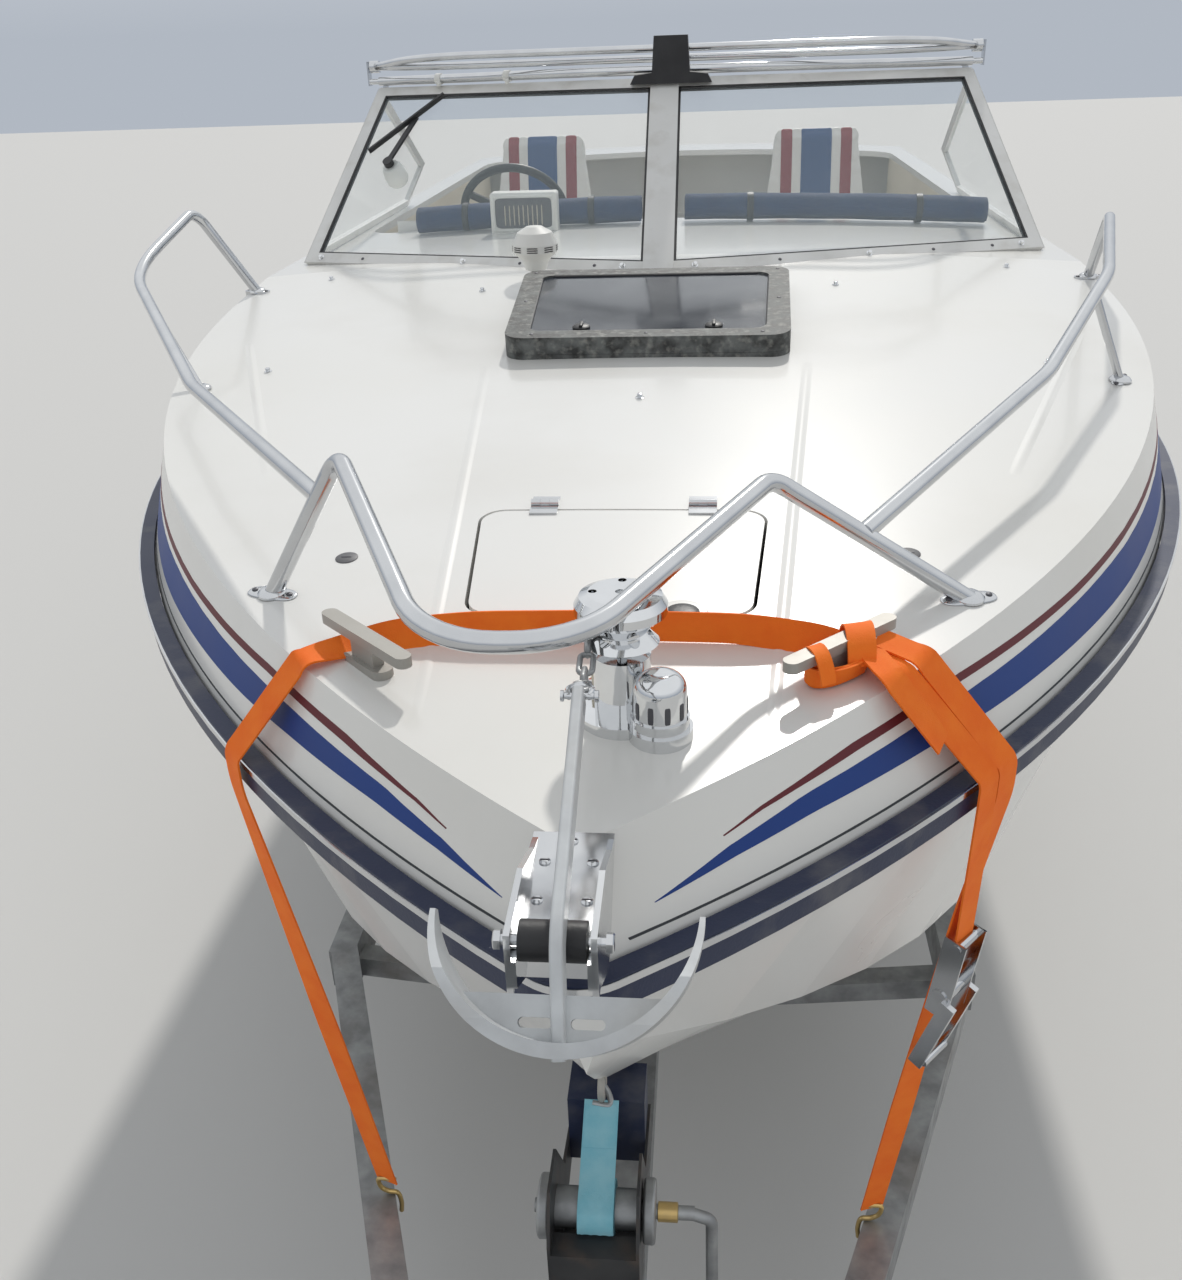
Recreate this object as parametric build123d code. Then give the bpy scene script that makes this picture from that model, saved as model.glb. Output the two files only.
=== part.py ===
from build123d import *
import os
from math import sin, cos, atan2, sqrt, radians, degrees, pi

# A cuddy speedboat on its road trailer, in millimetres.
# X runs to port, Y runs aft from the bow, Z runs up from the ground.
# Everything is placed from the bow point, and the whole is shifted along Y at the end.

# Heights above the ground
DATUM = 1640            # deck height at the bow point
SOLE_Z = 1070           # top of the cockpit floor
KEEL_Z = 510            # lowest point of the keel

# Plan of the boat
HALF_BEAM = 1140        # half-width over the moulding at the rub rail
PLAN_R = 2616           # radius of the bow curve in plan
SIDE_Y = 2230           # where the bow curve runs into the straight side
HULL_L = 5900           # bow point to transom
BOW_ROUND = 55          # radius of the blunted stem

# Deck
DECK_RISE = 0.092       # rise of the foredeck for each millimetre aft
RUB_RISE = 0.005        # rise of the rub rail line
RUB_DROP = 105          # rub rail below the deck at the bow
DECK_LEVEL_Y = 2450     # where deck and rub rail turn level
DECK_CROWN_R = 15000    # crosswise radius of the foredeck
DECK_T = 24             # deck skin
SIDE_LEAN = 40          # how far the deck edge stands inboard of the rub rail
DECK_EXTRA = 18         # centreline of the foredeck above the edge line at the bow

# Hull form: how the forefoot swells into the full section
STEM_Y = 150            # first section, at the stem
FULL_Y = 2600           # where the section is full
STEM_KEEL_Z = 1330      # underside of the stem at the first section
STEM_CHINE_Z = 1372     # chine at the first section
CHINE_X = 985           # half-width over the chine
CHINE_Z = 745           # chine height where the section is full
KEEL_POWER = 3.6        # how quickly the stem drops to the keel
CHINE_X_POWER = 2.05    # how quickly the chine widens
CHINE_Z_POWER = 3.0     # how quickly the chine drops
BOW_SECTIONS = 13
CHINE_FLAT = 34         # flat ledge outside the chine
HULL_T = 24             # hull side
HULL_INSIDE_Y = 560     # forward end of the hollow inside
TRANSOM_T = 60

# Cockpit opening in the deck
COCKPIT_Y0 = 3150
COCKPIT_Y1 = 5560
COAMING_X = 985
COCKPIT_R = 120
LINER_T = 22
CUT_LOW = 100           # openings in the deck are cut from here under the datum
CUT_H = 600

# pockets in the side liners: aft limits, then height limits
LINER_POCKETS = [
    # y0, y1, z0, z1
    (3320, 3900, 1200, 1500),
    (4050, 4620, 1200, 1500),
    (4760, 4900, 1240, 1620),
]

# Rub rail
RUB_OUT = 26            # how far the fender stands out
RUB_LOW = -28
RUB_HIGH = 14
STRIP_T = 3             # steel strip along its upper part
STRIP_LOW = 3
STRIP_HIGH = 12

# Windscreen, as the corners of its port pane
SCREEN_FOOT_Y = 2240    # centre of the foot
SCREEN_CORNER = (1020, 2610)
SCREEN_RISE = 424       # height of the centre post
SCREEN_RAKE = 556       # how far the post leans aft
SCREEN_SIDE = 0.864     # top width as a share of the foot width
SCREEN_BAR = 34         # width of the frame bars
SCREEN_T = 16           # depth of the frame bars
POST_W = 77             # cover plate over the centre joint
POST_PROUD = 5
POST_GROOVE = (7, 3)    # width and depth
GLASS_T = 5
SIDE_PANE_Y = 3900      # aft end of the side pane's foot
SIDE_PANE_TAPER = 0.32  # its height aft as a share of its height forward

# Cap on the centre post: block and base, and how far they reach fore and aft
CAP_BASE = (-94, 129, 22)   # from, to, height
CAP_BLOCK = (-34, 69, 118)
CAP_DEPTH = 80

# Wiper on the starboard pane, as shares across from the post and up from the foot
WIPER_PIVOT = (0.79, 0.55)
WIPER_BLADE = [(0.858, 0.612), (0.645, 0.94)]
WIPER_ARM_END = 0.62        # where along the blade the arm holds it
WIPER_LIFT = 13             # blade centre off the frame's middle plane

# Folded hood bows: lift over the screen's top, reach ahead of it, tube radius
HOOD_BOWS = [
    # lift, ahead, r
    (0, 6, 10),
    (26, 44, 10),
]
HOOD_PIVOT = (14, 10, 64)   # pivot from the screen's upper corner
HOOD_PIN_R = 6
HOOD_BOSS = (17, 14)        # radius and half-length

# Foredeck fittings: distance aft and half-width
HATCH_Y = (1630, 2150)
HATCH_X = (297, 318)    # half-width at its front and rear
HATCH_RIM = 48
HATCH_R = 45            # corner radius
HATCH_BASE_H = 8
HATCH_LID_H = 36
LID_SEAT = 0.5          # gap under the closed lid
PANE_T = 8
LOCKER_Y = (590, 915)
LOCKER_X = (198, 228)
LOCKER_R = 40
LOCKER_GAP = 5
LOCKER_WALL = 10
LID_T = 18
LOCKER_DEPTH = 230

WINDLASS = (36, 372)
DRUM_R = 54
DRUM_LIFT = 84
SPINDLE_R = 5.95
GYPSY_POCKETS = 6
CAP_HOLES = 4
MOTOR_POT = (46, -48, 31, 76)   # beside the drum: across, aft, radius, height
BOW_PLATE = (-52, 146)  # forward and after end of the stemhead fitting
BOW_PLATE_W = 84
ROLLER_L = 62
BOW_ROLLER_R = 19
BOW_PIN_R = 5
CHEEK_T = 6
SHANK_H = 34
SHANK_T = 12
SHANK_BEND = 60
ANCHOR_RING = (6, 190, 1812)    # shackle end of the shank
ANCHOR_KNEE = (8, -62, 1709)    # where the shank turns down ahead of the roller
ANCHOR_CROWN = (14, -120, 1632) # middle of the claw
CLAW_SPAN = 244         # over the tips
CLAW_RISE = 122         # from crown to tips
CLAW_TILT = 45          # lean of the claw's plane
CLAW_SKIN = (13, 5)     # thickness at crown and tips
CLAW_BREADTH = [        # half-breadth of the fluke plate at heights over the crown
    # up, half
    (-20, 30),
    (30, 38),
    (70, 34),
    (CLAW_RISE + 1, 5),
]
WEB_T = 9
WEB_H = 52              # web between the arms
WEB_SLOT = (30, 9, 46)  # length, height, distance between the two slots
LIGHT_AT = (-308, 2256)
LIGHT_R = 56
CLEAT_X = 297
CLEAT_Y = 464
CLEAT_L = 196
CLEAT_H = 40
CLEAT_LEG = (52, 16)
CLEAT_FOOT = (92, 30, 9)
CLEAT_TURN = 44         # the cleats follow the deck edge

# Pulpit: deck fixings as half-width and distance aft, then the tube routes
PULPIT_LEG = (486, 654)
PULPIT_MID_LEG = (930, 1546)
PULPIT_AFT_LEG = (1060, 2300)
PULPIT_LOOP = [
    (-350, 615, 1930),
    (-164, 235, 1848),
    (3, 235, 1850),
    (213, 600, 1901),
]
PULPIT_BENDS = [40, 125, 125, 40]
PULPIT_SIDE_STARBOARD = [
    (-389, 626, 1868),
    (-790, 1190, 1874),
    (-1180, 1860, 1962),
    (-1165, 2225, 2050),
]
PULPIT_SIDE_PORT = [
    (336, 624, 1818),
    (690, 1170, 1886),
    (907, 1640, 1960),
    (1050, 2165, 1995),
]
PULPIT_SIDE_BENDS = [420, 500, 50]
PULPIT_MID_SHARE = 0.75 # mid legs meet the rail this far along its second run
MID_LEG_R = 8
PAD_T = 4
PAD_SIZE = (72, 34)
PAD_TURNS = (25, 60, 20)    # heading of the front, middle and aft pads

# Rails and tubes
RAIL_R = 12.5

# Trailer
RAIL_TOP_Z = 560
RAIL_H = 100
RAIL_W = 60
FRAME_X = 690           # centre of the side rails
BEND_Y = 1215           # where the side rails turn in
NECK_Y = -460           # where they meet the drawbar
NECK_X = 55
TRAILER_END_Y = 5800
DRAWBAR_Y = -1000       # centre of the coupling ball
AXLE_Y = 3990
TYRE_R = 297
TYRE_W = 165
RIM_R = 170
RIM_HOLES = (8, 11, 104)    # number, radius, distance from the middle
WHEEL_X = 1055          # middle of the tyre
STUB_R = 15
STUB_GAP = 0.05
AXLE_W = 60
SPRING_L = 120
CROSS_Y = [BEND_Y + 40, 2450, 3500, 4550, 5650]
CROSS_W = 50
CROSS_DROP = 90
BUNK_X = 690
BUNK_W = 110
BUNK_T = 44
BUNK_Y = (2700, 5700)
BUNK_BRACKETS = 4
BUNK_POST = (40, 60)
ROLLER_R = 24
ROLLER_PIN_R = 8
POST_Y = 195
POST_IN = 54            # half-width between the winch plates
PLATE_T = 4
WINCH_SHAFT_R = 9
WINCH_DISC = (40, 16)   # radius and thickness of the gear covers
EYE_AT = (304, 1150)
WINCH_Z = 1045
BOW_STOP_Y = 382
BOW_STOP_Z = 1022
BALL_R = 25.2
JACK_AT = (-82, -640)
JACK_TUBE_R = 30
JACK_LEG_R = 24
JACK_SLIDE_R = 26       # collar of the sliding leg, and the bore it runs in
JACK_TUBE_Z = (330, 760)
JACK_FOOT = 170
STRAP_EDGE_Y = 465      # where the webbing goes over the gunwale
STRAP_HOOK = (425, 580)
STRAP_W = 42
STRAP_T = 3
RATCHET_SHARE = 0.36    # its place down the port strap
RATCHET_L = 150
DRAWBAR_W = 80
GUARD_W = 190
GUARD_GAP = 42          # between tyre and mudguard
GUARD_T = 3
STAY_W = 40

# Cockpit
DOOR_X = (-150, 330)
DOOR_TOP = 1740
DOOR_GAP = 5
BULKHEAD_T = 24
HELM_X = (-880, -230)
HELM_D = 250
HELM_UNDER = (420, 560) # height of its underside over the floor, forward and aft
WHEEL_AT = (-545, 3480, 1868)
WHEEL_R = 175
WHEEL_TILT = 28
WHEEL_RIM_R = 14
WHEEL_HUB_R = 42
WHEEL_SHAFT_R = 9
SEAT_X = 525
SEAT_Y = 3850
SEAT_W = 460
SEAT_D = 470
SEAT_H = 470
SEAT_PAN_H = 110
SEAT_R = 70
SEAT_BACK_T = 110
SEAT_TAPER = (14, 66)   # how much each side draws in at mid-height and at the top
SEAT_BACK_H = 640
SEAT_LEAN = 12
SEAT_GAP = 0.3          # under every cushion
BENCH_Y = (5000, 5540)
BENCH_H = 420
BENCH_PAD = (90, 50)    # thickness and corner radius
ENGINE_COVER_X = 430
ENGINE_COVER_Y = (4900, 5545)
ENGINE_COVER_H = 380
COVER_T = 12

# Engine bay under the aft bench
ENGINE_BAY_X = 420
ENGINE_BAY_Y = (4950, 5780)
ENGINE_BAY_Z = 720

# Stern drive
DRIVE_Y = 6050          # steering and tilt axes
TILT_Z = 1030
DRIVE_REST_TILT = 42    # it is parked with its leg up
KING_R = 14
TILT_PIN_R = 16
YOKE_X = 44             # half-width of the steering yoke
CHEEK_X = (56, 84)      # the leg's cheeks either side of it
LEG_FACE = 112          # front of the leg's housing, aft of the tilt axis
LEG_FOOT_Z = 175        # bottom of the skeg with the leg down
PROP_SHAFT_R = 13
PROP_HUB_R = 40
PROP_BLADES = 3
PROP_PITCH = 480        # advance for one turn
BLADE_SECTIONS = [
    # radius, chord, thickness
    (34, 64, 12),
    (85, 122, 8),
    (130, 112, 5),
    (158, 62, 3),
]

# Hinges: barrel, pin and leaves
HINGE_R = 5.5
HINGE_PIN_R = 2.5
HINGE_GAP = 0.5
LEAF_T = 3
HINGE_W = 44
HINGE_LIFT = 6          # barrel centre above the surface
LOCKER_HINGE_X = 125
HATCH_HINGE_X = 215
DOOR_HINGE_Z = (SOLE_Z + 150, DOOR_TOP - 150)

# Things lying on the dash: rolled canvas, from, to and centre line; instrument box
ROLL_R = 42
ROLL_Y = 3070
CANVAS_ROLLS = [(50, 955), (-790, -85)]
BOX_X = (-540, -335)
BOX_Y = (2955, 3020)
BOX_H = 112


def rub_z(y):
    """Height of the rub rail line."""
    return DATUM - RUB_DROP + RUB_RISE * min(y, DECK_LEVEL_Y)


def deck_z(y):
    """Height of the deck on the centreline."""
    return DATUM + DECK_EXTRA + DECK_RISE * min(y, DECK_LEVEL_Y)


def deck_at(x, y):
    """Height of the crowned deck at any point."""
    return deck_z(y) - (DECK_CROWN_R - sqrt(DECK_CROWN_R ** 2 - x * x))


def half_beam(y, inset=0.0):
    """Half-width of the plan outline at the rub rail."""
    r = PLAN_R - inset
    cx = HALF_BEAM - PLAN_R
    if y >= SIDE_Y:
        return cx + r
    return cx + sqrt(max(r * r - (SIDE_Y - y) ** 2, 0.0))


def box(x0, x1, y0, y1, z0, z1):
    """A box from its six limits."""
    b = Box(abs(x1 - x0), abs(y1 - y0), abs(z1 - z0))
    return Pos((x0 + x1) / 2, (y0 + y1) / 2, (z0 + z1) / 2) * b


def both(shape):
    """A piece and its mirror image on the other side."""
    return [shape, mirror(shape, about=Plane.YZ)]


def rod(a, b, r):
    """A round bar between two points."""
    a, b = Vector(*a), Vector(*b)
    axis = b - a
    return Plane(origin=a, z_dir=axis) * extrude(Circle(r), axis.length)


def tube_path(points, bend, r, inner=0.0):
    """A tube along straight runs joined by arcs."""
    path = FilletPolyline(*points, radius=bend) if len(points) > 2 else Polyline(*points)
    start = path.position_at(0)
    plane = Plane(origin=start, z_dir=path.tangent_at(0))
    body = sweep(plane * Circle(r), path=path, transition=Transition.ROUND)
    if inner:
        body -= sweep(plane * Circle(inner), path=path, transition=Transition.ROUND)
    return body


def beam(a, b, w, h):
    """A rectangular bar, w wide and h high, whose centre line runs from a to b."""
    a, b = Vector(*a), Vector(*b)
    axis = b - a
    side = Vector(0, 0, 1).cross(axis)
    plane = Plane(origin=a, x_dir=side, z_dir=axis)
    return plane * extrude(Rectangle(w, h), axis.length)


def plan_wire(inset, y_end, z_at, slope, round_r):
    """The boat's plan outline, drawn in a plane that rises aft."""
    w = half_beam(SIDE_Y, inset)
    r = PLAN_R - inset
    cx = HALF_BEAM - PLAN_R
    # a bow fillet of round_r touches both side arcs from the inside
    fc_y = SIDE_Y - sqrt((r - round_r) ** 2 - cx * cx)
    # touching point on the port arc
    ux, uy = (0 - cx) / (r - round_r), (fc_y - SIDE_Y) / (r - round_r)
    tx, ty = cx + ux * r, SIDE_Y + uy * r
    nose = fc_y - round_r
    a_mid = atan2(ty - SIDE_Y, tx - cx) / 2
    mx, my = cx + r * cos(a_mid), SIDE_Y + r * sin(a_mid)
    # distances aft are measured level, so they stretch in the rising plane
    k = sqrt(1 + slope ** 2)
    edges = [
        ThreePointArc((-tx, ty * k), (0, nose * k), (tx, ty * k)),
        ThreePointArc((tx, ty * k), (mx, my * k), (w, SIDE_Y * k)),
        Line((w, SIDE_Y * k), (w, y_end * k)),
        Line((w, y_end * k), (-w, y_end * k)),
        Line((-w, y_end * k), (-w, SIDE_Y * k)),
        ThreePointArc((-w, SIDE_Y * k), (-mx, my * k), (-tx, ty * k)),
    ]
    plane = Plane(origin=(0, 0, z_at), x_dir=(1, 0, 0), z_dir=(0, -slope, 1))
    return plane * Wire(edges)


def deck_block(inset, drop, y_end, extra_side=0.0):
    """The deck moulding as a solid block: leaning sides under a crowned top."""
    # forward block rises aft, after block is level
    top_extra = 120
    lean = SIDE_LEAN * (RUB_DROP + top_extra) / RUB_DROP
    low = plan_wire(inset + extra_side, DECK_LEVEL_Y, DATUM - RUB_DROP, RUB_RISE, BOW_ROUND)
    high = plan_wire(inset + lean, DECK_LEVEL_Y, DATUM + top_extra, DECK_RISE, BOW_ROUND)
    fore = Solid.make_loft([low, high], ruled=True)
    w0 = half_beam(SIDE_Y, inset + extra_side)
    w1 = half_beam(SIDE_Y, inset + lean)
    z0 = rub_z(HULL_L)
    z1 = DATUM + top_extra + DECK_RISE * DECK_LEVEL_Y
    sec = Polyline((-w0, z0), (w0, z0), (w1, z1), (-w1, z1), close=True)
    aft = Plane(origin=(0, y_end, 0), x_dir=(1, 0, 0), z_dir=(0, -1, 0)) * make_face(sec)
    aft = extrude(aft, y_end - DECK_LEVEL_Y)
    # the crown of the rising foredeck runs into the level one
    whole = (fore + aft) & crowned_bar(deck_z(0) - drop, DECK_RISE)
    return whole & crowned_bar(deck_z(HULL_L) - drop, 0)


def crowned_bar(top_z, rise):
    """A long bar with the deck's crosswise curve on top, rising aft."""
    r = DECK_CROWN_R * cos(atan2(rise, 1))
    w = HALF_BEAM + 200
    sag = r - sqrt(r * r - w * w)
    edges = [ThreePointArc((-w, -sag), (0, 0), (w, -sag)), Line((w, -sag), (w, -1500)), Line((w, -1500), (-w, -1500)),
             Line((-w, -1500), (-w, -sag))]
    plane = Plane(origin=(0, 0, top_z), x_dir=(1, 0, 0), z_dir=(0, -1, -rise))
    return plane * extrude(make_face(Wire(edges)), 9000, both=True)


def hull_section(y):
    """Keel height, chine half-width and chine height at a distance aft."""
    t = min((y - STEM_Y) / (FULL_Y - STEM_Y), 1.0)
    keel = KEEL_Z + (STEM_KEEL_Z - KEEL_Z) * (1 - t) ** KEEL_POWER
    chine_x = max(CHINE_X * (1 - (1 - t) ** CHINE_X_POWER), 12)
    chine_z = CHINE_Z + (STEM_CHINE_Z - CHINE_Z) * (1 - t) ** CHINE_Z_POWER
    return keel, chine_x, chine_z


def section_stations(y0):
    """Distances aft of the hull's sections, closer together at the bow."""
    steps = [(i / BOW_SECTIONS) ** 1.35 for i in range(BOW_SECTIONS + 1)]
    rows = [STEM_Y + (FULL_Y - STEM_Y) * s for s in steps]
    return [y for y in rows if y >= y0] + [HULL_L]


def hull_block(inset, lift, y_first, y_last, above=0.0):
    """The hull as a solid, its sections drawn by the same rule all the way aft."""
    wires = []
    for y in [y_first] + [v for v in section_stations(y_first + 1) if v < y_last] + [y_last]:
        keel, cx, cz = hull_section(y)
        c = max(cx - inset, 5)
        # carried above the rub rail, the side keeps its slope
        grow = 1 + above / (rub_z(y) - cz - lift)
        sheer_x = c + (half_beam(y) - inset - c) * grow
        sheer_z = rub_z(y) + above
        f = CHINE_FLAT * min(1.0, cx / 500) if not inset else 0.5
        pts = [(-sheer_x, sheer_z), (-c - f, cz + lift), (-c, cz + lift), (0, keel + lift),
               (c, cz + lift), (c + f, cz + lift), (sheer_x, sheer_z)]
        plane = Plane(origin=(0, y, 0), x_dir=(1, 0, 0), z_dir=(0, -1, 0))
        wires.append(Wire((plane * Polyline(*pts, close=True)).edges()))
    return Solid.make_loft(wires, ruled=True)


def oblique(origin, rise=DECK_RISE):
    """A drawing plane that follows the rising foredeck."""
    return Plane(origin=origin, x_dir=(1, 0, 0), z_dir=(0, -rise, 1))


def trapezoid(y0, y1, x0, x1, r):
    """A rounded trapezoid about the centreline, drawn with Y aft."""
    pts = [(-x0, y0), (x0, y0), (x1, y1), (-x1, y1)]
    return fillet(make_face(Polyline(*pts, close=True)).vertices(), r)


def on_foredeck(sketch, lift, height):
    """Extrude a plan sketch upwards, square to the foredeck, from a lift above it."""
    k = sqrt(1 + DECK_RISE ** 2)
    plane = oblique((0, 0, deck_z(0))).offset(lift)
    return plane * extrude(scale(sketch, (1, k, 1)), height)


def make_deck():
    """Foredeck, side decks and gunwale band in one moulding."""
    skin = deck_block(0, 0, HULL_L) - deck_block(DECK_T, DECK_T, HULL_L - DECK_T)
    cockpit = RectangleRounded(2 * COAMING_X, COCKPIT_Y1 - COCKPIT_Y0, COCKPIT_R)
    cockpit = Pos(0, (COCKPIT_Y0 + COCKPIT_Y1) / 2) * cockpit
    for opening in (cockpit, hatch_hole(), trapezoid(*LOCKER_Y, *LOCKER_X, LOCKER_R)):
        skin -= Pos(0, 0, DATUM - CUT_LOW) * extrude(opening, CUT_H)
    return skin


def hatch_hole():
    """Plan of the opening inside the hatch's rim."""
    m = HATCH_RIM
    return trapezoid(HATCH_Y[0] + m, HATCH_Y[1] - m, HATCH_X[0] - m, HATCH_X[1] - m, HATCH_R - 15)


def make_hull():
    """Hull with a hollow cabin and cockpit above the floor."""
    body = hull_block(0, 0, STEM_Y, HULL_L)
    inner = hull_block(HULL_T, 30, HULL_INSIDE_Y, HULL_L - TRANSOM_T, 200)
    floor = SOLE_Z - 20
    inner = inner & box(-2000, 2000, 0, 7000, floor, 3000)
    body -= inner
    # engine bay
    body -= box(-ENGINE_BAY_X, ENGINE_BAY_X, ENGINE_BAY_Y[0], ENGINE_BAY_Y[1], ENGINE_BAY_Z, floor + 1)
    return body


def make_rub_rail():
    """The navy rubber fender round the boat, and the steel strip along it."""
    fender = rub_ring(-RUB_OUT, -1, RUB_LOW, RUB_HIGH)
    strip = rub_ring(-RUB_OUT - STRIP_T, -RUB_OUT, STRIP_LOW, STRIP_HIGH)
    return fender, strip


def rub_ring(inset_out, inset_in, low, high):
    """A band that follows the rub rail line, open at the transom."""
    def slab(inset, lo, hi):
        bow = plan_wire(inset, DECK_LEVEL_Y, DATUM - RUB_DROP + lo, RUB_RISE, BOW_ROUND - inset)
        top = plan_wire(inset, DECK_LEVEL_Y, DATUM - RUB_DROP + hi, RUB_RISE, BOW_ROUND - inset)
        w = half_beam(SIDE_Y, inset)
        z = rub_z(HULL_L)
        return Solid.make_loft([bow, top], ruled=True) + box(-w, w, DECK_LEVEL_Y, HULL_L, z + lo, z + hi)
    return slab(inset_out, low, high) - slab(inset_in, low - 5, high + 5)


def make_sole():
    """The cockpit and cabin floor."""
    inner = hull_block(HULL_T + 3, 30, HULL_INSIDE_Y, HULL_L - TRANSOM_T - 3, 200)
    floor = inner & box(-2000, 2000, HULL_INSIDE_Y + 120, 7000, SOLE_Z - 19.7, SOLE_Z)
    y0, y1 = ENGINE_BAY_Y
    return floor - box(-ENGINE_BAY_X, ENGINE_BAY_X, y0, y1, SOLE_Z - 40, SOLE_Z + 40)


def make_liners(deck):
    """Cream side liners from floor to side deck, each with tall pockets."""
    x0 = COAMING_X
    top = deck_at(COAMING_X, HULL_L) - DECK_T + 5
    panel = box(x0, x0 + LINER_T, COCKPIT_Y0 + 60, COCKPIT_Y1 - 20, SOLE_Z, top)
    for y0, y1, z0, z1 in LINER_POCKETS:
        cut = Pos(x0, (y0 + y1) / 2, (z0 + z1) / 2) * Rot(0, 90, 0) * extrude(
            RectangleRounded(z1 - z0, y1 - y0, 40), 200, both=True)
        panel -= cut
    panel -= deck
    return both(panel)


def screen_corners():
    """Corners of the port pane: post foot, outer foot, outer top, post top."""
    fx, fy = SCREEN_CORNER
    foot = Vector(0, SCREEN_FOOT_Y, deck_at(0, SCREEN_FOOT_Y) + 4)
    outer = Vector(fx, fy, deck_at(fx, fy) + 4)
    top = foot + Vector(0, SCREEN_RAKE, SCREEN_RISE)
    # the outer top corner lies in the plane of the other three
    across, up = outer - foot, top - foot
    outer_top = foot + across * SCREEN_SIDE + up * ((SCREEN_RISE + 2) / SCREEN_RISE)
    return foot, outer, outer_top, top


def pane_plane(a, b, c):
    """A drawing plane through three points, with its first axis from a to b."""
    normal = (b - a).cross(c - a)
    return Plane(origin=a, x_dir=b - a, z_dir=normal)


def framed_pane(pts, bar, depth):
    """A flat frame round a pane, and the pane that fills it."""
    plane = pane_plane(pts[0], pts[1], pts[2])
    flat = [plane.to_local_coords(p) for p in pts]
    outline = make_face(Polyline(*[(v.X, v.Y) for v in flat], close=True))
    hole = offset(outline, amount=-bar, kind=Kind.INTERSECTION)
    frame = plane * extrude(outline - hole, depth / 2, both=True)
    glass = plane * extrude(hole, GLASS_T / 2, both=True)
    return frame, glass


def make_windscreen(deck):
    """Two raked front panes and two side panes in a painted frame."""
    foot, outer, outer_top, top = screen_corners()
    frame, glass = framed_pane([foot, outer, outer_top, top], SCREEN_BAR, SCREEN_T)
    right = box(0, 3000, 0, 9000, 0, 4000)
    frame = frame & right
    fx = COAMING_X + 45
    aft = Vector(fx, SIDE_PANE_Y, deck_at(fx, SIDE_PANE_Y) + 4)
    up = outer_top - outer
    side = [outer, aft, aft + up * SIDE_PANE_TAPER, outer_top]
    side_frame, side_glass = framed_pane(side, SCREEN_BAR * 0.7, SCREEN_T)
    post = centre_post(foot, top)
    glass -= post
    frames = frame + side_frame
    frames = frames + mirror(frames, about=Plane.YZ) + post
    foot_bars = frames - deck
    solids = sorted(foot_bars.solids(), key=lambda v: -v.volume)
    return solids[0], both(glass) + both(side_glass)


def centre_post(foot, top):
    """Grooved cover plate over the joint of the two front panes."""
    plane = Plane(origin=foot, x_dir=(1, 0, 0), z_dir=top - foot)
    half = SCREEN_T / 2
    section = Pos(0, POST_PROUD / 2) * Rectangle(POST_W, SCREEN_T + POST_PROUD)
    groove_w, groove_d = POST_GROOVE
    section -= Pos(0, half + POST_PROUD) * Rectangle(groove_w, 2 * groove_d)
    return plane * extrude(section, (top - foot).length)


def make_screen_cap(frame):
    """Black cap astride the top of the centre post."""
    _, _, _, top = screen_corners()
    x0, x1, base_h = CAP_BASE
    b0, b1, block_h = CAP_BLOCK
    z = top.Z - 8
    outline = Polyline((x0, z), (x1, z), (x1 - 12, z + base_h), (b1, z + base_h + 6), (b1 - 6, z + block_h),
                       (b0 + 6, z + block_h), (b0, z + base_h + 6), (x0 + 12, z + base_h), close=True)
    cap = Pos(0, top.Y, 0) * extrude(Plane.XZ * make_face(outline), CAP_DEPTH / 2, both=True)
    return max((cap - frame).solids(), key=lambda v: v.volume)


def make_wiper():
    """Wiper outside the starboard pane: pivot cap, arm and blade."""
    foot, outer, _, top = [Vector(-v.X, v.Y, v.Z) for v in screen_corners()]
    across, up = outer - foot, top - foot
    normal = up.cross(across).normalized()

    def on_pane(place, lift):
        return foot + across * place[0] + up * place[1] + normal * lift
    low, high = [on_pane(place, WIPER_LIFT) for place in WIPER_BLADE]
    pivot = on_pane(WIPER_PIVOT, GLASS_T / 2)
    head = on_pane(WIPER_PIVOT, WIPER_LIFT + 6)
    grip = low + (high - low) * WIPER_ARM_END
    blade = Plane(origin=low, x_dir=normal, z_dir=high - low) * extrude(Rectangle(14, 7), (high - low).length)
    arm = Plane(origin=head - normal * 6, x_dir=normal, z_dir=grip - head) * extrude(
        Rectangle(7, 15), (grip - head).length)
    return rod(pivot, head, 15) + arm + blade


def hood_pivot():
    """Where the hood bows turn, on the port side."""
    return screen_corners()[2] + Vector(*HOOD_PIVOT)


def make_top_rail(frame):
    """Polished tube along the top of the windscreen, whose end fittings stand on it and carry the hood's pins."""
    _, _, outer_top, top = screen_corners()
    lift = Vector(0, 0, RAIL_R + SCREEN_T / 2 + 3)
    a, m = outer_top + lift, top + lift
    pts = [(-a.X, a.Y, a.Z), (-m.X - 260, m.Y + 70, m.Z), (m.X + 260, m.Y + 70, m.Z), (a.X, a.Y, a.Z)]
    rail = tube_path(pts, 500, RAIL_R)
    pivot = hood_pivot()
    radius, half = HOOD_BOSS
    x = pivot.X + half + 3
    for side in (-1, 1):
        rail += rod((side * (a.X - 16), a.Y, a.Z), (side * (a.X - 16), a.Y, outer_top.Z - 20), 9)
        rail += rod((side * (a.X - 2), a.Y, a.Z), (side * x, a.Y, a.Z), 8)
        rail += box(side * x, side * (x + 5), pivot.Y - 15, pivot.Y + 15, a.Z - 12, pivot.Z + 15)
        rail += rod((side * (pivot.X - half), pivot.Y, pivot.Z), (side * (x + 2), pivot.Y, pivot.Z), HOOD_PIN_R)
    rail = rail - frame
    return max(rail.solids(), key=lambda v: v.volume)


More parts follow.
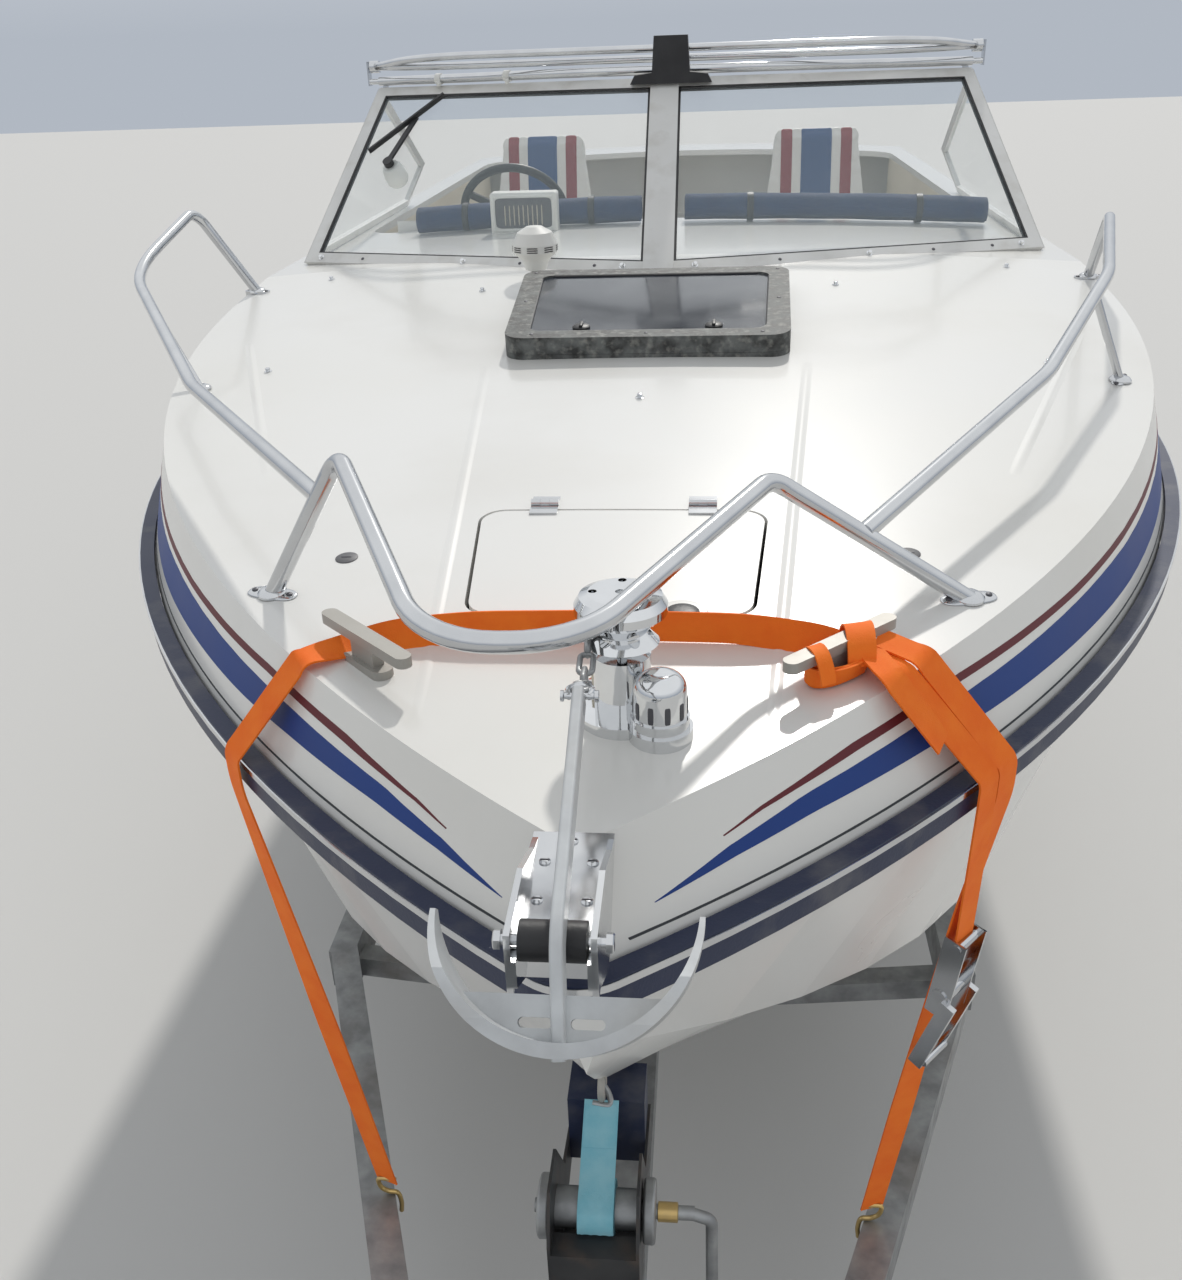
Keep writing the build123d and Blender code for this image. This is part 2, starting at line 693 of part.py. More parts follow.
def make_hood_bows():
    """Two folded hood bows joined at their end bosses, which turn on the pins over the screen's upper corners."""
    _, _, _, top = screen_corners()
    a = hood_pivot()
    radius, half = HOOD_BOSS
    bows = None
    for lift, ahead, r in HOOD_BOWS:
        m = top + Vector(0, -ahead, lift + HOOD_PIVOT[2])
        pts = [(-a.X, a.Y, a.Z), (-a.X + 190, m.Y + 120, m.Z - 12), (a.X - 190, m.Y + 120, m.Z - 12), (a.X, a.Y, a.Z)]
        bow = tube_path(pts, 320, r)
        bows = bow if bows is None else bows + bow
    for side in (-1, 1):
        bows += rod((side * (a.X - half), a.Y, a.Z), (side * (a.X + half), a.Y, a.Z), radius)
        bows -= rod((side * (a.X - half - 20), a.Y, a.Z), (side * (a.X + half + 20), a.Y, a.Z), HOOD_PIN_R + STUB_GAP)
    return bows


def make_hatch():
    """Hatch base ring, the framed lid and its smoked pane."""
    hole = hatch_hole()
    outer = trapezoid(*HATCH_Y, *HATCH_X, HATCH_R)
    base = on_foredeck(outer - hole, -20, 20 + HATCH_BASE_H)
    ring = on_foredeck(outer - hole, HATCH_BASE_H + LID_SEAT, HATCH_LID_H)
    pane = on_foredeck(offset(hole, amount=-0.2), HATCH_BASE_H + HATCH_LID_H - 12, PANE_T)
    return base, ring, pane


def hatch_axis():
    """Distance aft and height of the hatch lid's hinge line."""
    y = HATCH_Y[1] + 10
    return y, deck_at(HATCH_HINGE_X, y) + HATCH_BASE_H + HINGE_LIFT


def locker_axis():
    """Distance aft and height of the locker lid's hinge line."""
    y = LOCKER_Y[1] + 12
    return y, deck_at(LOCKER_HINGE_X, y) + HINGE_LIFT


def butt_hinge(plane, fixed_leaf, moving_leaf):
    """The two halves of a small hinge whose pin lies along the plane's first axis.

    Each leaf is a block that reaches the barrel, cut back where the other half's knuckles turn.
    """
    along = Rot(0, 90, 0)
    third = HINGE_W / 3
    barrel = along * Cylinder(HINGE_R, HINGE_W)
    room = along * Cylinder(HINGE_R + HINGE_GAP, HINGE_W + 2)
    wide = Box(third + HINGE_GAP, 90, 90)
    narrow = Box(third - HINGE_GAP, 90, 90)
    pin = along * Cylinder(HINGE_PIN_R, HINGE_W)
    fixed = (fixed_leaf - (room & wide)) + (barrel - wide) + pin
    moving = (moving_leaf - (room - wide)) + (barrel & narrow)
    moving -= along * Cylinder(HINGE_PIN_R + STUB_GAP, HINGE_W + 2)
    return plane * fixed, plane * moving


def deck_hinges(axis, x, moving_leaf, deck):
    """A pair of hinges on the foredeck; the fixed leaves run aft of the pin and lie on the deck."""
    y, z = axis
    fixed, moving = [], []
    for side in (-1, 1):
        plane = oblique((side * x, y, z))
        low = deck_at(x, y) - z
        leaf = Pos(0, 14, low + LEAF_T / 2 - 2) * Box(HINGE_W, 28, LEAF_T + 4)
        still, turning = butt_hinge(plane, leaf, moving_leaf)
        fixed.append(cut_by(still, deck))
        moving.append(turning)
    return fixed, moving


def make_locker_hinges(deck, lid):
    """Hinges of the locker lid, with their moving leaves flat on it."""
    leaf = Pos(0, -16, LEAF_T / 2 + 0.2 - HINGE_LIFT) * Box(HINGE_W, 32, LEAF_T)
    fixed, moving = deck_hinges(locker_axis(), LOCKER_HINGE_X, leaf, deck)
    return fixed, [cut_by(v, lid) for v in moving]


def make_hatch_hinges(deck, ring):
    """Hinges of the hatch lid, with their moving leaves up its rear face."""
    leaf = Pos(0, -8, 12) * Box(HINGE_W, 5, 34)
    fixed, moving = deck_hinges(hatch_axis(), HATCH_HINGE_X, leaf, deck)
    return fixed, [cut_by(v, ring) for v in moving]


def make_locker_lid():
    """Flush anchor locker lid, crowned with the deck."""
    g = LOCKER_GAP
    plan = trapezoid(LOCKER_Y[0] + g, LOCKER_Y[1] - g, LOCKER_X[0] - g, LOCKER_X[1] - g, LOCKER_R - g + 1)
    skin = deck_block(0, 0, HULL_L) - deck_block(0, LID_T, HULL_L)
    return skin & (Pos(0, 0, DATUM - CUT_LOW) * extrude(plan, CUT_H))


def make_locker():
    """Anchor locker: an open box hung under the deck."""
    w = LOCKER_WALL
    y0, y1 = LOCKER_Y
    x0, x1 = LOCKER_X
    outer = trapezoid(y0 - w, y1 + w, x0 + w, x1 + w, LOCKER_R + 6)
    inner = trapezoid(y0, y1, x0, x1, LOCKER_R)
    z0 = deck_z(y0) - DECK_T - LOCKER_DEPTH
    tray = Pos(0, 0, z0) * extrude(outer, LOCKER_DEPTH + 100)
    tray -= Pos(0, 0, z0 + w) * extrude(inner, LOCKER_DEPTH + 200)
    return tray & deck_block(DECK_T, DECK_T, HULL_L)


def cut_by(piece, deck):
    """Keep what stands above the deck, as the largest piece left."""
    rest = piece - deck
    return max(rest.solids(), key=lambda v: v.volume)


def deck_pad(x, y, length, width, heading, deck):
    """An oval mounting flange seated on the deck."""
    z = deck_at(x, y)
    blank = Pos(x, y, z - 30) * Rot(0, 0, heading) * extrude(SlotOverall(length, width), 30 + PAD_T)
    return cut_by(blank, deck)


def make_pulpit(deck):
    """Bow pulpit: a front loop knocked to starboard, two side rails and their legs."""
    x, y = PULPIT_LEG
    feet = [Vector(side * x, y, deck_at(x, y)) for side in (-1, 1)]
    loop = [feet[0]] + [Vector(*v) for v in PULPIT_LOOP] + [feet[1]]
    pieces = [tube_path(loop, PULPIT_BENDS, RAIL_R)]
    front, middle, aft = PAD_TURNS
    pads = [deck_pad(side * x, y, *PAD_SIZE, -side * front, deck) for side in (-1, 1)]
    for side, route in ((-1, PULPIT_SIDE_STARBOARD), (1, PULPIT_SIDE_PORT)):
        ax, ay = PULPIT_AFT_LEG
        foot = Vector(side * ax, ay, deck_at(ax, ay))
        pts = [Vector(*v) for v in route] + [foot]
        pieces.append(tube_path(pts, PULPIT_SIDE_BENDS, RAIL_R))
        pads.append(deck_pad(side * ax, ay, *PAD_SIZE, side * aft, deck))
        mx, my = PULPIT_MID_LEG
        foot = Vector(side * mx, my, deck_at(mx, my))
        head = Vector(*route[1]) + (Vector(*route[2]) - Vector(*route[1])) * PULPIT_MID_SHARE
        pieces.append(rod(foot, head, MID_LEG_R))
        pads.append(deck_pad(side * mx, my, *PAD_SIZE, side * middle, deck))
    frame = pieces[0]
    for piece in pieces[1:] + pads:
        frame = frame + piece
    frame = frame - deck
    # drop what was cut off under the deck
    return [v for v in frame.solids() if v.center().Z > deck_at(v.center().X, v.center().Y)]


def make_cleats(deck):
    """Two horn cleats set across the bow."""
    out = []
    for side in (-1, 1):
        cx, cy, heading = CLEAT_X, CLEAT_Y, CLEAT_TURN
        z = deck_at(cx, cy)
        horn = Pos(0, 0, CLEAT_H) * extrude(SlotOverall(CLEAT_L, 22), 7, both=True)
        leg = Pos(0, 0, -25) * extrude(Rectangle(*CLEAT_LEG), CLEAT_H + 25)
        foot_l, foot_w, foot_t = CLEAT_FOOT
        foot = Pos(0, 0, -25) * extrude(SlotOverall(foot_l, foot_w), 25 + foot_t)
        cleat = horn + leg + foot
        cleat = Pos(side * cx, cy, z) * Rot(0, 0, side * heading) * cleat
        out.append(cut_by(cleat, deck))
    return out


def make_windlass(deck):
    """Chromed vertical windlass: foot plate with motor pot, and the turning drum with its chain gypsy."""
    x, y = WINDLASS
    z = deck_at(x, y)
    px, py = x + MOTOR_POT[0], y + MOTOR_POT[1]
    pot_r, pot_h = MOTOR_POT[2:]
    foot = Pos(x, y + 12, z - 20) * extrude(Ellipse(62, 74), 28)
    foot += Pos(px, py, z - 20) * extrude(Circle(pot_r + 7), 28)
    neck = Pos(x, y, z) * extrude(Circle(34), DRUM_LIFT - 8)
    pot = Pos(px, py, z) * extrude(Circle(pot_r), pot_h)
    pot = fillet(pot.edges().group_by(Axis.Z)[-1], pot_r * 0.7)
    pot += Pos(px, py, z) * extrude(Circle(pot_r + 3), 22)
    base = cut_by(foot + neck + pot, deck)
    base += Pos(x, y, z + 50) * extrude(Circle(SPINDLE_R), DRUM_LIFT + 14)
    return base, Pos(x, y, z + DRUM_LIFT) * make_drum()


def make_drum():
    """Chain gypsy with its link pockets, under a polished cap with key holes."""
    profile = Polyline((6, 0), (30, 0), (44, 8), (30, 22), (44, 38), (DRUM_R, 46), (DRUM_R, 56), (DRUM_R - 6, 66),
                       (DRUM_R - 16, 70), (6, 70), close=True)
    drum = revolve(Plane.XZ * make_face(profile), Axis.Z)
    for i in range(GYPSY_POCKETS):
        turn = Rot(0, 0, 360 / GYPSY_POCKETS * i)
        drum -= turn * Pos(40, 0, 22) * Rot(0, 90, 0) * Cylinder(8, 18)
    for i in range(CAP_HOLES):
        turn = Rot(0, 0, 360 / CAP_HOLES * i)
        drum -= turn * Pos(DRUM_R - 22, 0, 68) * Cylinder(5, 16)
    return drum


def bow_roller_at():
    """Distance aft and height of the bow roller's pin, just under the anchor's shank."""
    y = BOW_PLATE[0] + 22
    rise = (ANCHOR_RING[2] - ANCHOR_KNEE[2]) / (ANCHOR_RING[1] - ANCHOR_KNEE[1])
    shank_z = ANCHOR_KNEE[2] + rise * (y - ANCHOR_KNEE[1])
    return y, shank_z - (SHANK_H / 2 + BOW_ROLLER_R + 0.3) * sqrt(1 + rise ** 2)


def make_bow_roller(deck, fender):
    """Stainless stemhead fitting with two cheeks and a nylon roller."""
    side = Polyline((BOW_PLATE[0], 0), (BOW_PLATE[1], 0), (BOW_PLATE[1], -5), (60, -80), (30, -80), (BOW_PLATE[0], -30),
                    close=True)
    z = deck_at(0, BOW_PLATE[1]) + 4
    body = Plane.YZ * make_face(side)
    body = Pos(0, 0, z) * extrude(body, BOW_PLATE_W / 2, both=True)
    cheek = Polyline((BOW_PLATE[0], -40), (BOW_PLATE[0], 30), (40, 34), (110, 6), (BOW_PLATE[1] - 10, 0), (40, -6),
                     close=True)
    for sx in (-1, 1):
        plate = Plane.YZ * make_face(cheek)
        body += Pos(sx * (BOW_PLATE_W - CHEEK_T) / 2, 0, z) * extrude(plate, CHEEK_T / 2, both=True)
    ry, rz = bow_roller_at()
    slot = box(-ROLLER_L / 2 - 1, ROLLER_L / 2 + 1, ry - 60, ry + 24, rz - 80, rz + 60)
    body -= slot
    body = cut_by(body, deck)
    body -= fender
    body = max(body.solids(), key=lambda v: v.volume)
    pin = rod((-BOW_PLATE_W / 2 - 6, ry, rz), (BOW_PLATE_W / 2 + 6, ry, rz), BOW_PIN_R)
    roller = rod((-ROLLER_L / 2, ry, rz), (ROLLER_L / 2, ry, rz), BOW_ROLLER_R)
    roller -= rod((-60, ry, rz), (60, ry, rz), BOW_PIN_R + STUB_GAP)
    return body + pin, roller


def make_anchor():
    """Galvanised claw anchor: flat shank bent down over the roller, and a claw of curved plate with its web."""
    path = FilletPolyline(ANCHOR_RING, ANCHOR_KNEE, ANCHOR_CROWN, radius=SHANK_BEND)
    start, along = path.position_at(0), path.tangent_at(0)
    section = Plane(origin=start, x_dir=(1, 0, 0), z_dir=along) * RectangleRounded(SHANK_T, SHANK_H, 3)
    shank = sweep(section, path=path)
    eye = start + along * 16
    shank -= rod(eye - Vector(30, 0, 0), eye + Vector(30, 0, 0), 7)
    # the claw's own plane: across the boat, and up along its lean
    lean = radians(CLAW_TILT)
    crown = Vector(*ANCHOR_CROWN)
    plane = Plane(origin=crown, x_dir=(1, 0, 0), z_dir=(0, -sin(lean), cos(lean)))
    half, skin, tip = CLAW_SPAN / 2, *CLAW_SKIN
    outer = ThreePointArc((-half, CLAW_RISE), (0, 0), (half, CLAW_RISE))
    inner = ThreePointArc((half - tip, CLAW_RISE), (0, skin), (-half + tip, CLAW_RISE))
    band = make_face(Wire([outer, Line((half, CLAW_RISE), (half - tip, CLAW_RISE)), inner,
                           Line((-half + tip, CLAW_RISE), (-half, CLAW_RISE))]))
    plate = extrude(band, CLAW_BREADTH[1][1] + 1, both=True)
    side = [(up, half) for up, half in CLAW_BREADTH] + [(up, -half) for up, half in reversed(CLAW_BREADTH)]
    plate &= extrude(Plane.YZ * make_face(Polyline(*side, close=True)), CLAW_SPAN, both=True)
    web = make_face(Wire([outer, Line((half, CLAW_RISE), (-half, CLAW_RISE))]))
    web &= Pos(0, WEB_H / 2) * Rectangle(CLAW_SPAN, WEB_H)
    slot_l, slot_h, apart = WEB_SLOT
    for sx in (-1, 1):
        web -= Pos(sx * apart / 2, WEB_H * 0.55) * SlotOverall(slot_l, slot_h)
    claw = plane * (plate + extrude(web, WEB_T / 2, both=True))
    return shank + claw


def make_deck_light(deck):
    """White mushroom lamp on a short stem behind the hatch."""
    x, y = LIGHT_AT
    z = deck_at(x, y)
    profile = Polyline((0, -20), (9, -20), (9, 16), (26, 22), (34, 44), (LIGHT_R, 66), (LIGHT_R, 84), (44, 112),
                       (20, 126), (0, 128), close=True)
    lamp = Pos(x, y, z) * revolve(Plane.XZ * make_face(profile), Axis.Z)
    return cut_by(lamp, deck)


def make_dash(deck):
    """Bulkhead under the dash with the cabin doorway, and the helm console."""
    x0, x1 = DOOR_X
    top = deck_at(0, COCKPIT_Y0) + 20
    y0 = COCKPIT_Y0 - BULKHEAD_T
    low = hull_block(HULL_T + 1, 30, y0, COCKPIT_Y0)
    high = deck_block(DECK_T + 1, DECK_T - 5, HULL_L)
    wall = (low + high) & box(-2000, 2000, y0, COCKPIT_Y0, SOLE_Z, top)
    wall -= box(x0, x1, y0 - 10, COCKPIT_Y0 + 10, SOLE_Z - 1, DOOR_TOP)
    hx0, hx1 = HELM_X
    under, rise = HELM_UNDER
    side = Polyline((COCKPIT_Y0, SOLE_Z + under), (COCKPIT_Y0 + 60, SOLE_Z + under),
                    (COCKPIT_Y0 + HELM_D, SOLE_Z + rise), (COCKPIT_Y0 + HELM_D - 60, top - 40), (COCKPIT_Y0, top - 10),
                    close=True)
    helm = Pos(hx0, 0, 0) * extrude(Plane.YZ * make_face(side), hx1 - hx0)
    body = (wall + helm) - deck
    return max(body.solids(), key=lambda v: v.volume)


def door_axis():
    """The cabin door's hinge line, at its starboard edge."""
    return DOOR_X[0] + 2, COCKPIT_Y0 + 6


def make_door():
    """Cabin door, hinged on its starboard side."""
    x0, x1 = DOOR_X
    c = DOOR_GAP
    y0 = COCKPIT_Y0 - BULKHEAD_T
    leaf = box(x0 + c, x1 - c, y0 + 2, COCKPIT_Y0 - 1, SOLE_Z + c, DOOR_TOP - c)
    fixed = []
    ax, ay = door_axis()
    low = COCKPIT_Y0 - ay
    for z in DOOR_HINGE_Z:
        # pin upright, leaves flat on the bulkhead and on the door
        plane = Plane(origin=(ax, ay, z), x_dir=(0, 0, 1), z_dir=(0, 1, 0))
        still = Pos(0, -15, low + LEAF_T / 2) * Box(HINGE_W, 30, LEAF_T)
        turning = Pos(0, 15, low + LEAF_T / 2 - 0.5) * Box(HINGE_W, 30, LEAF_T + 1)
        still, turning = butt_hinge(plane, still, turning)
        fixed.append(still)
        leaf += turning
    return leaf, fixed


def make_steering_wheel():
    """Three-spoked wheel on a short shaft from the helm."""
    x, y, z = WHEEL_AT
    plane = Plane(origin=(x, y, z), x_dir=(1, 0, 0), z_dir=(0, cos(radians(WHEEL_TILT)), sin(radians(WHEEL_TILT))))
    rim = plane * Torus(WHEEL_R, WHEEL_RIM_R)
    hub = plane * Pos(0, 0, -18) * Cylinder(WHEEL_HUB_R, 26)
    wheel = hub
    for a in (90, 210, 330):
        spoke = Rot(0, 0, a) * Pos(WHEEL_R / 2, 0, -8) * Box(WHEEL_R, 26, 8)
        wheel = wheel + plane * spoke
    wheel = wheel + rim
    bore = plane * Pos(0, 0, -24) * Cylinder(WHEEL_SHAFT_R + STUB_GAP, 30)
    wheel -= bore
    shaft = plane * Pos(0, 0, -80) * Cylinder(WHEEL_SHAFT_R, 128)
    return wheel, shaft


def make_seat(side):
    """One helm seat: shell with cushions, on a box pedestal."""
    x = side * SEAT_X
    top = SOLE_Z + SEAT_H
    pan = Pos(x, SEAT_Y - 20, top - SEAT_PAN_H) * extrude(RectangleRounded(SEAT_W, SEAT_D, SEAT_R), SEAT_PAN_H)
    pan = fillet(pan.edges().group_by(Axis.Z)[-1], 30)
    lean = radians(SEAT_LEAN)
    plane = Plane(origin=(x, SEAT_Y + SEAT_D / 2 - 20, top - 90), x_dir=(1, 0, 0),
                  z_dir=(0, -cos(lean), sin(lean)))
    h = SEAT_BACK_H
    w = SEAT_W / 2
    mid, end = SEAT_TAPER
    outline = [(-w, 0), (w, 0), (w - mid, h * 0.45), (w - end, h), (end - w, h), (mid - w, h * 0.45)]
    back_face = fillet(make_face(Polyline(*outline, close=True)).vertices(), 40)
    back = plane * extrude(back_face, SEAT_BACK_T / 2, both=True)
    return pan + back


def make_seat_base(side):
    """Moulded box pedestal under a seat."""
    x = side * SEAT_X
    plan = RectangleRounded(SEAT_W - 60, SEAT_D - 40, SEAT_R - 20)
    return Pos(x, SEAT_Y - 20, SOLE_Z) * extrude(plan, SEAT_H - SEAT_PAN_H - SEAT_GAP)


def make_bench():
    """Aft bench cushions, either side of and over the engine cover."""
    thick, corner = BENCH_PAD
    x0 = ENGINE_COVER_X + 6
    out = []
    for side in (-1, 1):
        w = COAMING_X - x0 - 8
        c = side * (x0 + w / 2)
        pad = Pos(c, (BENCH_Y[0] + BENCH_Y[1]) / 2, SOLE_Z + BENCH_H - thick) * extrude(
            RectangleRounded(w, BENCH_Y[1] - BENCH_Y[0], corner), thick)
        out.append(pad)
    middle = RectangleRounded(2 * ENGINE_COVER_X - 10, ENGINE_COVER_Y[1] - ENGINE_COVER_Y[0] - 10, corner + 10)
    out.append(Pos(0, (ENGINE_COVER_Y[0] + ENGINE_COVER_Y[1]) / 2, SOLE_Z + ENGINE_COVER_H + SEAT_GAP) * extrude(
        middle, thick - 10))
    return out


def make_bench_base():
    """Moulded lockers under the side cushions."""
    x0 = ENGINE_COVER_X + 6
    out = []
    for side in (-1, 1):
        w = COAMING_X - x0 - 8
        c = side * (x0 + w / 2)
        out.append(Pos(c, (BENCH_Y[0] + BENCH_Y[1]) / 2, SOLE_Z) * extrude(
            Rectangle(w - 4, BENCH_Y[1] - BENCH_Y[0] - 20), BENCH_H - BENCH_PAD[0] - SEAT_GAP))
    return out


def make_engine_cover():
    """Hollow cover over the engine."""
    y0, y1 = ENGINE_COVER_Y
    c = (y0 + y1) / 2
    outer = Pos(0, c, SOLE_Z) * extrude(RectangleRounded(2 * ENGINE_COVER_X, y1 - y0, 50), ENGINE_COVER_H)
    inner = Pos(0, c, SOLE_Z - 1) * extrude(
        RectangleRounded(2 * (ENGINE_COVER_X - COVER_T), y1 - y0 - 2 * COVER_T, 40), ENGINE_COVER_H - COVER_T + 1)
    return outer - inner


def make_canvas_rolls(deck):
    """Rolled canvas lying along the dash."""
    return [cut_by(rod((x0, ROLL_Y, deck_at(x0, ROLL_Y) + ROLL_R), (x1, ROLL_Y, deck_at(x1, ROLL_Y) + ROLL_R), ROLL_R),
                   deck) for x0, x1 in CANVAS_ROLLS]


def make_instrument_box(deck):
    """White instrument box on the dash."""
    x0, x1 = BOX_X
    y0, y1 = BOX_Y
    z = deck_at(x1, y0)
    case = box(x0, x1, y0, y1, z - 20, z + BOX_H)
    case = fillet(case.edges().group_by(Axis.Z)[-1] + case.edges().filter_by(Axis.Z), 9)
    return cut_by(case, deck)


def propeller_at():
    """Distance aft and height of the propeller's front face with the leg down."""
    return DRIVE_Y + 340, LEG_FOOT_Z + 150


def make_drive():
    """Stern drive: transom shield, steering yoke, tilting leg and propeller, leg down."""
    t, y, z = HULL_L, DRIVE_Y, TILT_Z
    shield = box(-170, 170, t, t + 40, z - 330, z + 110)
    shield = fillet(shield.edges().filter_by(Axis.Y), 60)
    for low in (z + 66, z - 274):
        shield += box(-36, 36, t + 30, y + 24, low, low + 24)
    shield -= rod((0, y, z - 300), (0, y, z + 120), KING_R + STUB_GAP)
    # steering yoke turns on the king pin between the two ears
    yoke = box(-YOKE_X, YOKE_X, y - 34, y + 34, z - 240, z + 58)
    yoke += rod((0, y, z - 274), (0, y, z + 90), KING_R)
    yoke += rod((-110, y, z), (110, y, z), TILT_PIN_R)
    # leg hangs from the tilt pin on two cheeks
    foot = LEG_FOOT_Z
    inner, outer = CHEEK_X
    head = box(-outer, outer, y + LEG_FACE, y + 250, z - 260, z + 60)
    leg = fillet(head.edges().filter_by(Axis.Z) + head.edges().group_by(Axis.Z)[-1], 22)
    for side in (-1, 1):
        leg += box(side * inner, side * outer, y - 30, y + 190, z - 150, z + 36)
    leg += Pos(0, y + 172, foot + 120) * extrude(Ellipse(34, 110), z - 350 - foot)
    leg += Pos(0, y + 200, foot + 330) * extrude(Ellipse(110, 190), 12)
    torpedo = Spline((0, 0), (24, 30), (42, 90), (44, 250), (38, 300))
    torpedo = make_face(Wire([torpedo, Line((38, 300), (0, 300)), Line((0, 300), (0, 0))]))
    leg += Pos(0, y + 30, foot + 150) * Rot(-90, 0, 0) * revolve(Plane.XZ * torpedo, Axis.Z)
    skeg = make_face(Polyline((y + 70, foot + 130), (y + 250, foot + 130), (y + 260, foot), (y + 180, foot),
                              close=True))
    leg += extrude(Plane.YZ * skeg, 7, both=True)
    leg -= rod((-120, y, z), (120, y, z), TILT_PIN_R + STUB_GAP)
    py, pz = propeller_at()
    leg += rod((0, py - 20, pz), (0, py + 70, pz), PROP_SHAFT_R)
    prop = rod((0, py - 4, pz), (0, py + 62, pz), PROP_HUB_R)
    for i in range(PROP_BLADES):
        prop += Pos(0, py + 29, pz) * Rot(0, 360 / PROP_BLADES * i, 0) * make_blade()
    prop -= rod((0, py - 40, pz), (0, py + 90, pz), PROP_SHAFT_R + STUB_GAP)
    return shield, yoke, leg, prop


def make_blade():
    """One propeller blade, its sections turned to the pitch from hub to tip."""
    faces = []
    for r, chord, t in BLADE_SECTIONS:
        turn = degrees(atan2(PROP_PITCH, 2 * pi * r))
        faces.append(Pos(0, 0, r) * Rot(0, 0, turn) * Ellipse(chord / 2, t / 2))
    return loft(faces)


def tilt_up(shape):
    """Turn a piece of the leg up about the tilt axis to where it is parked."""
    axis = Axis((0, DRIVE_Y, TILT_Z), (1, 0, 0))
    return shape.rotate(axis, DRIVE_REST_TILT)


def make_trailer(bunks):
    """Galvanised chassis: bent side rails, V cross members, drawbar."""
    z = RAIL_TOP_Z - RAIL_H / 2
    pieces = []
    for side in (-1, 1):
        x = side * FRAME_X
        pieces.append(beam((x, BEND_Y - 10, z), (x, TRAILER_END_Y, z), RAIL_W, RAIL_H))
        pieces.append(beam((x, BEND_Y + 12, z), (side * NECK_X, NECK_Y, z), RAIL_W, RAIL_H))
        # V cross members drop towards the keel
        for y in CROSS_Y:
            pieces.append(beam((x, y, z - 10), (side * -8, y, z - CROSS_DROP), CROSS_W, CROSS_W))
    pieces.append(beam((0, DRAWBAR_Y + 60, z), (0, CROSS_Y[0] + CROSS_W / 2, z), DRAWBAR_W, RAIL_H - 10))
    # the drawbar's end stands on the first cross member
    pieces.append(box(-30, 30, CROSS_Y[0] - CROSS_W / 2, CROSS_Y[0] + CROSS_W / 2, z - CROSS_DROP, z - 40))
    frame = pieces[0]
    for piece in pieces[1:] + make_roller_carriers():
        frame = frame + piece
    for post in make_bunk_brackets():
        for bunk in bunks:
            post -= bunk
        frame = frame + min(post.solids(), key=lambda v: v.center().Z)
    return frame


def make_axle():
    """Axle tube, hub stubs and leaf-spring blocks."""
    z = TYRE_R
    axle = beam((-WHEEL_X + 150, AXLE_Y, z), (WHEEL_X - 150, AXLE_Y, z), AXLE_W, AXLE_W)
    for side in (-1, 1):
        axle += rod((side * (WHEEL_X - 170), AXLE_Y, z), (side * (WHEEL_X + 60), AXLE_Y, z), STUB_R)
        top = RAIL_TOP_Z - RAIL_H
        axle += box(side * (FRAME_X - 28), side * (FRAME_X + 28), AXLE_Y - SPRING_L / 2, AXLE_Y + SPRING_L / 2,
                    z + 20, top)
    return axle


def make_wheel(side):
    """Steel road wheel with hub, and its tyre."""
    x = side * WHEEL_X
    profile = [(STUB_R + STUB_GAP, -50), (46, -50), (46, 8), (60, 14), (RIM_R - 28, 22), (RIM_R - 24, -62), (RIM_R, -68),
               (RIM_R, 68), (RIM_R - 12, 68), (RIM_R - 16, 34), (60, 26), (38, 36), (38, 58), (STUB_R + STUB_GAP, 58)]
    disc = revolve(Plane.XZ * make_face(Polyline(*profile, close=True)), Axis.Z)
    count, hole_r, out = RIM_HOLES
    for i in range(count):
        disc -= Rot(0, 0, 360 / count * i) * Pos(out, 0, 22) * Cylinder(hole_r, 60)
    turn = Rot(0, side * 90, 0)
    rim = Pos(x, AXLE_Y, TYRE_R) * turn * disc
    w = TYRE_W / 2
    section = [(RIM_R + 0.2, -66), (TYRE_R - 60, -w), (TYRE_R - 26, -w + 3), (TYRE_R - 6, -w + 22), (TYRE_R, -w + 40),
               (TYRE_R, w - 40), (TYRE_R - 6, w - 22), (TYRE_R - 26, w - 3), (TYRE_R - 60, w), (RIM_R + 0.2, 66)]
    tyre = revolve(Plane.XZ * make_face(Polyline(*section, close=True)), Axis.Z)
    tyre = Pos(x, AXLE_Y, TYRE_R) * turn * tyre
    return rim, tyre


def make_mudguards():
    """Rolled steel mudguards on brackets from the side rails."""
    out = []
    r0, r1 = TYRE_R + GUARD_GAP, TYRE_R + GUARD_GAP + GUARD_T
    for side in (-1, 1):
        ring = Pos(side * WHEEL_X, AXLE_Y, TYRE_R) * Rot(0, 90, 0) * (
            extrude(Circle(r1), GUARD_W / 2, both=True) - extrude(Circle(r0), GUARD_W, both=True))
        guard = ring & box(-3000, 3000, AXLE_Y - 600, AXLE_Y + 600, TYRE_R + 60, 2000)
        x0 = FRAME_X + RAIL_W / 2 + 0.2
        for y in (AXLE_Y - 330, AXLE_Y + 290):
            guard += box(side * x0, side * (WHEEL_X - GUARD_W / 2 + 20), y, y + STAY_W, TYRE_R + 90, TYRE_R + 96)
            guard += box(side * x0, side * (x0 + 6), y, y + STAY_W, TYRE_R + 90, RAIL_TOP_Z - 20)
        out.append(guard)
    return out


def bottom_z(x, y):
    """Height of the hull bottom between keel and chine."""
    keel, cx, cz = hull_section(y)
    return keel + (cz - keel) * abs(x) / cx


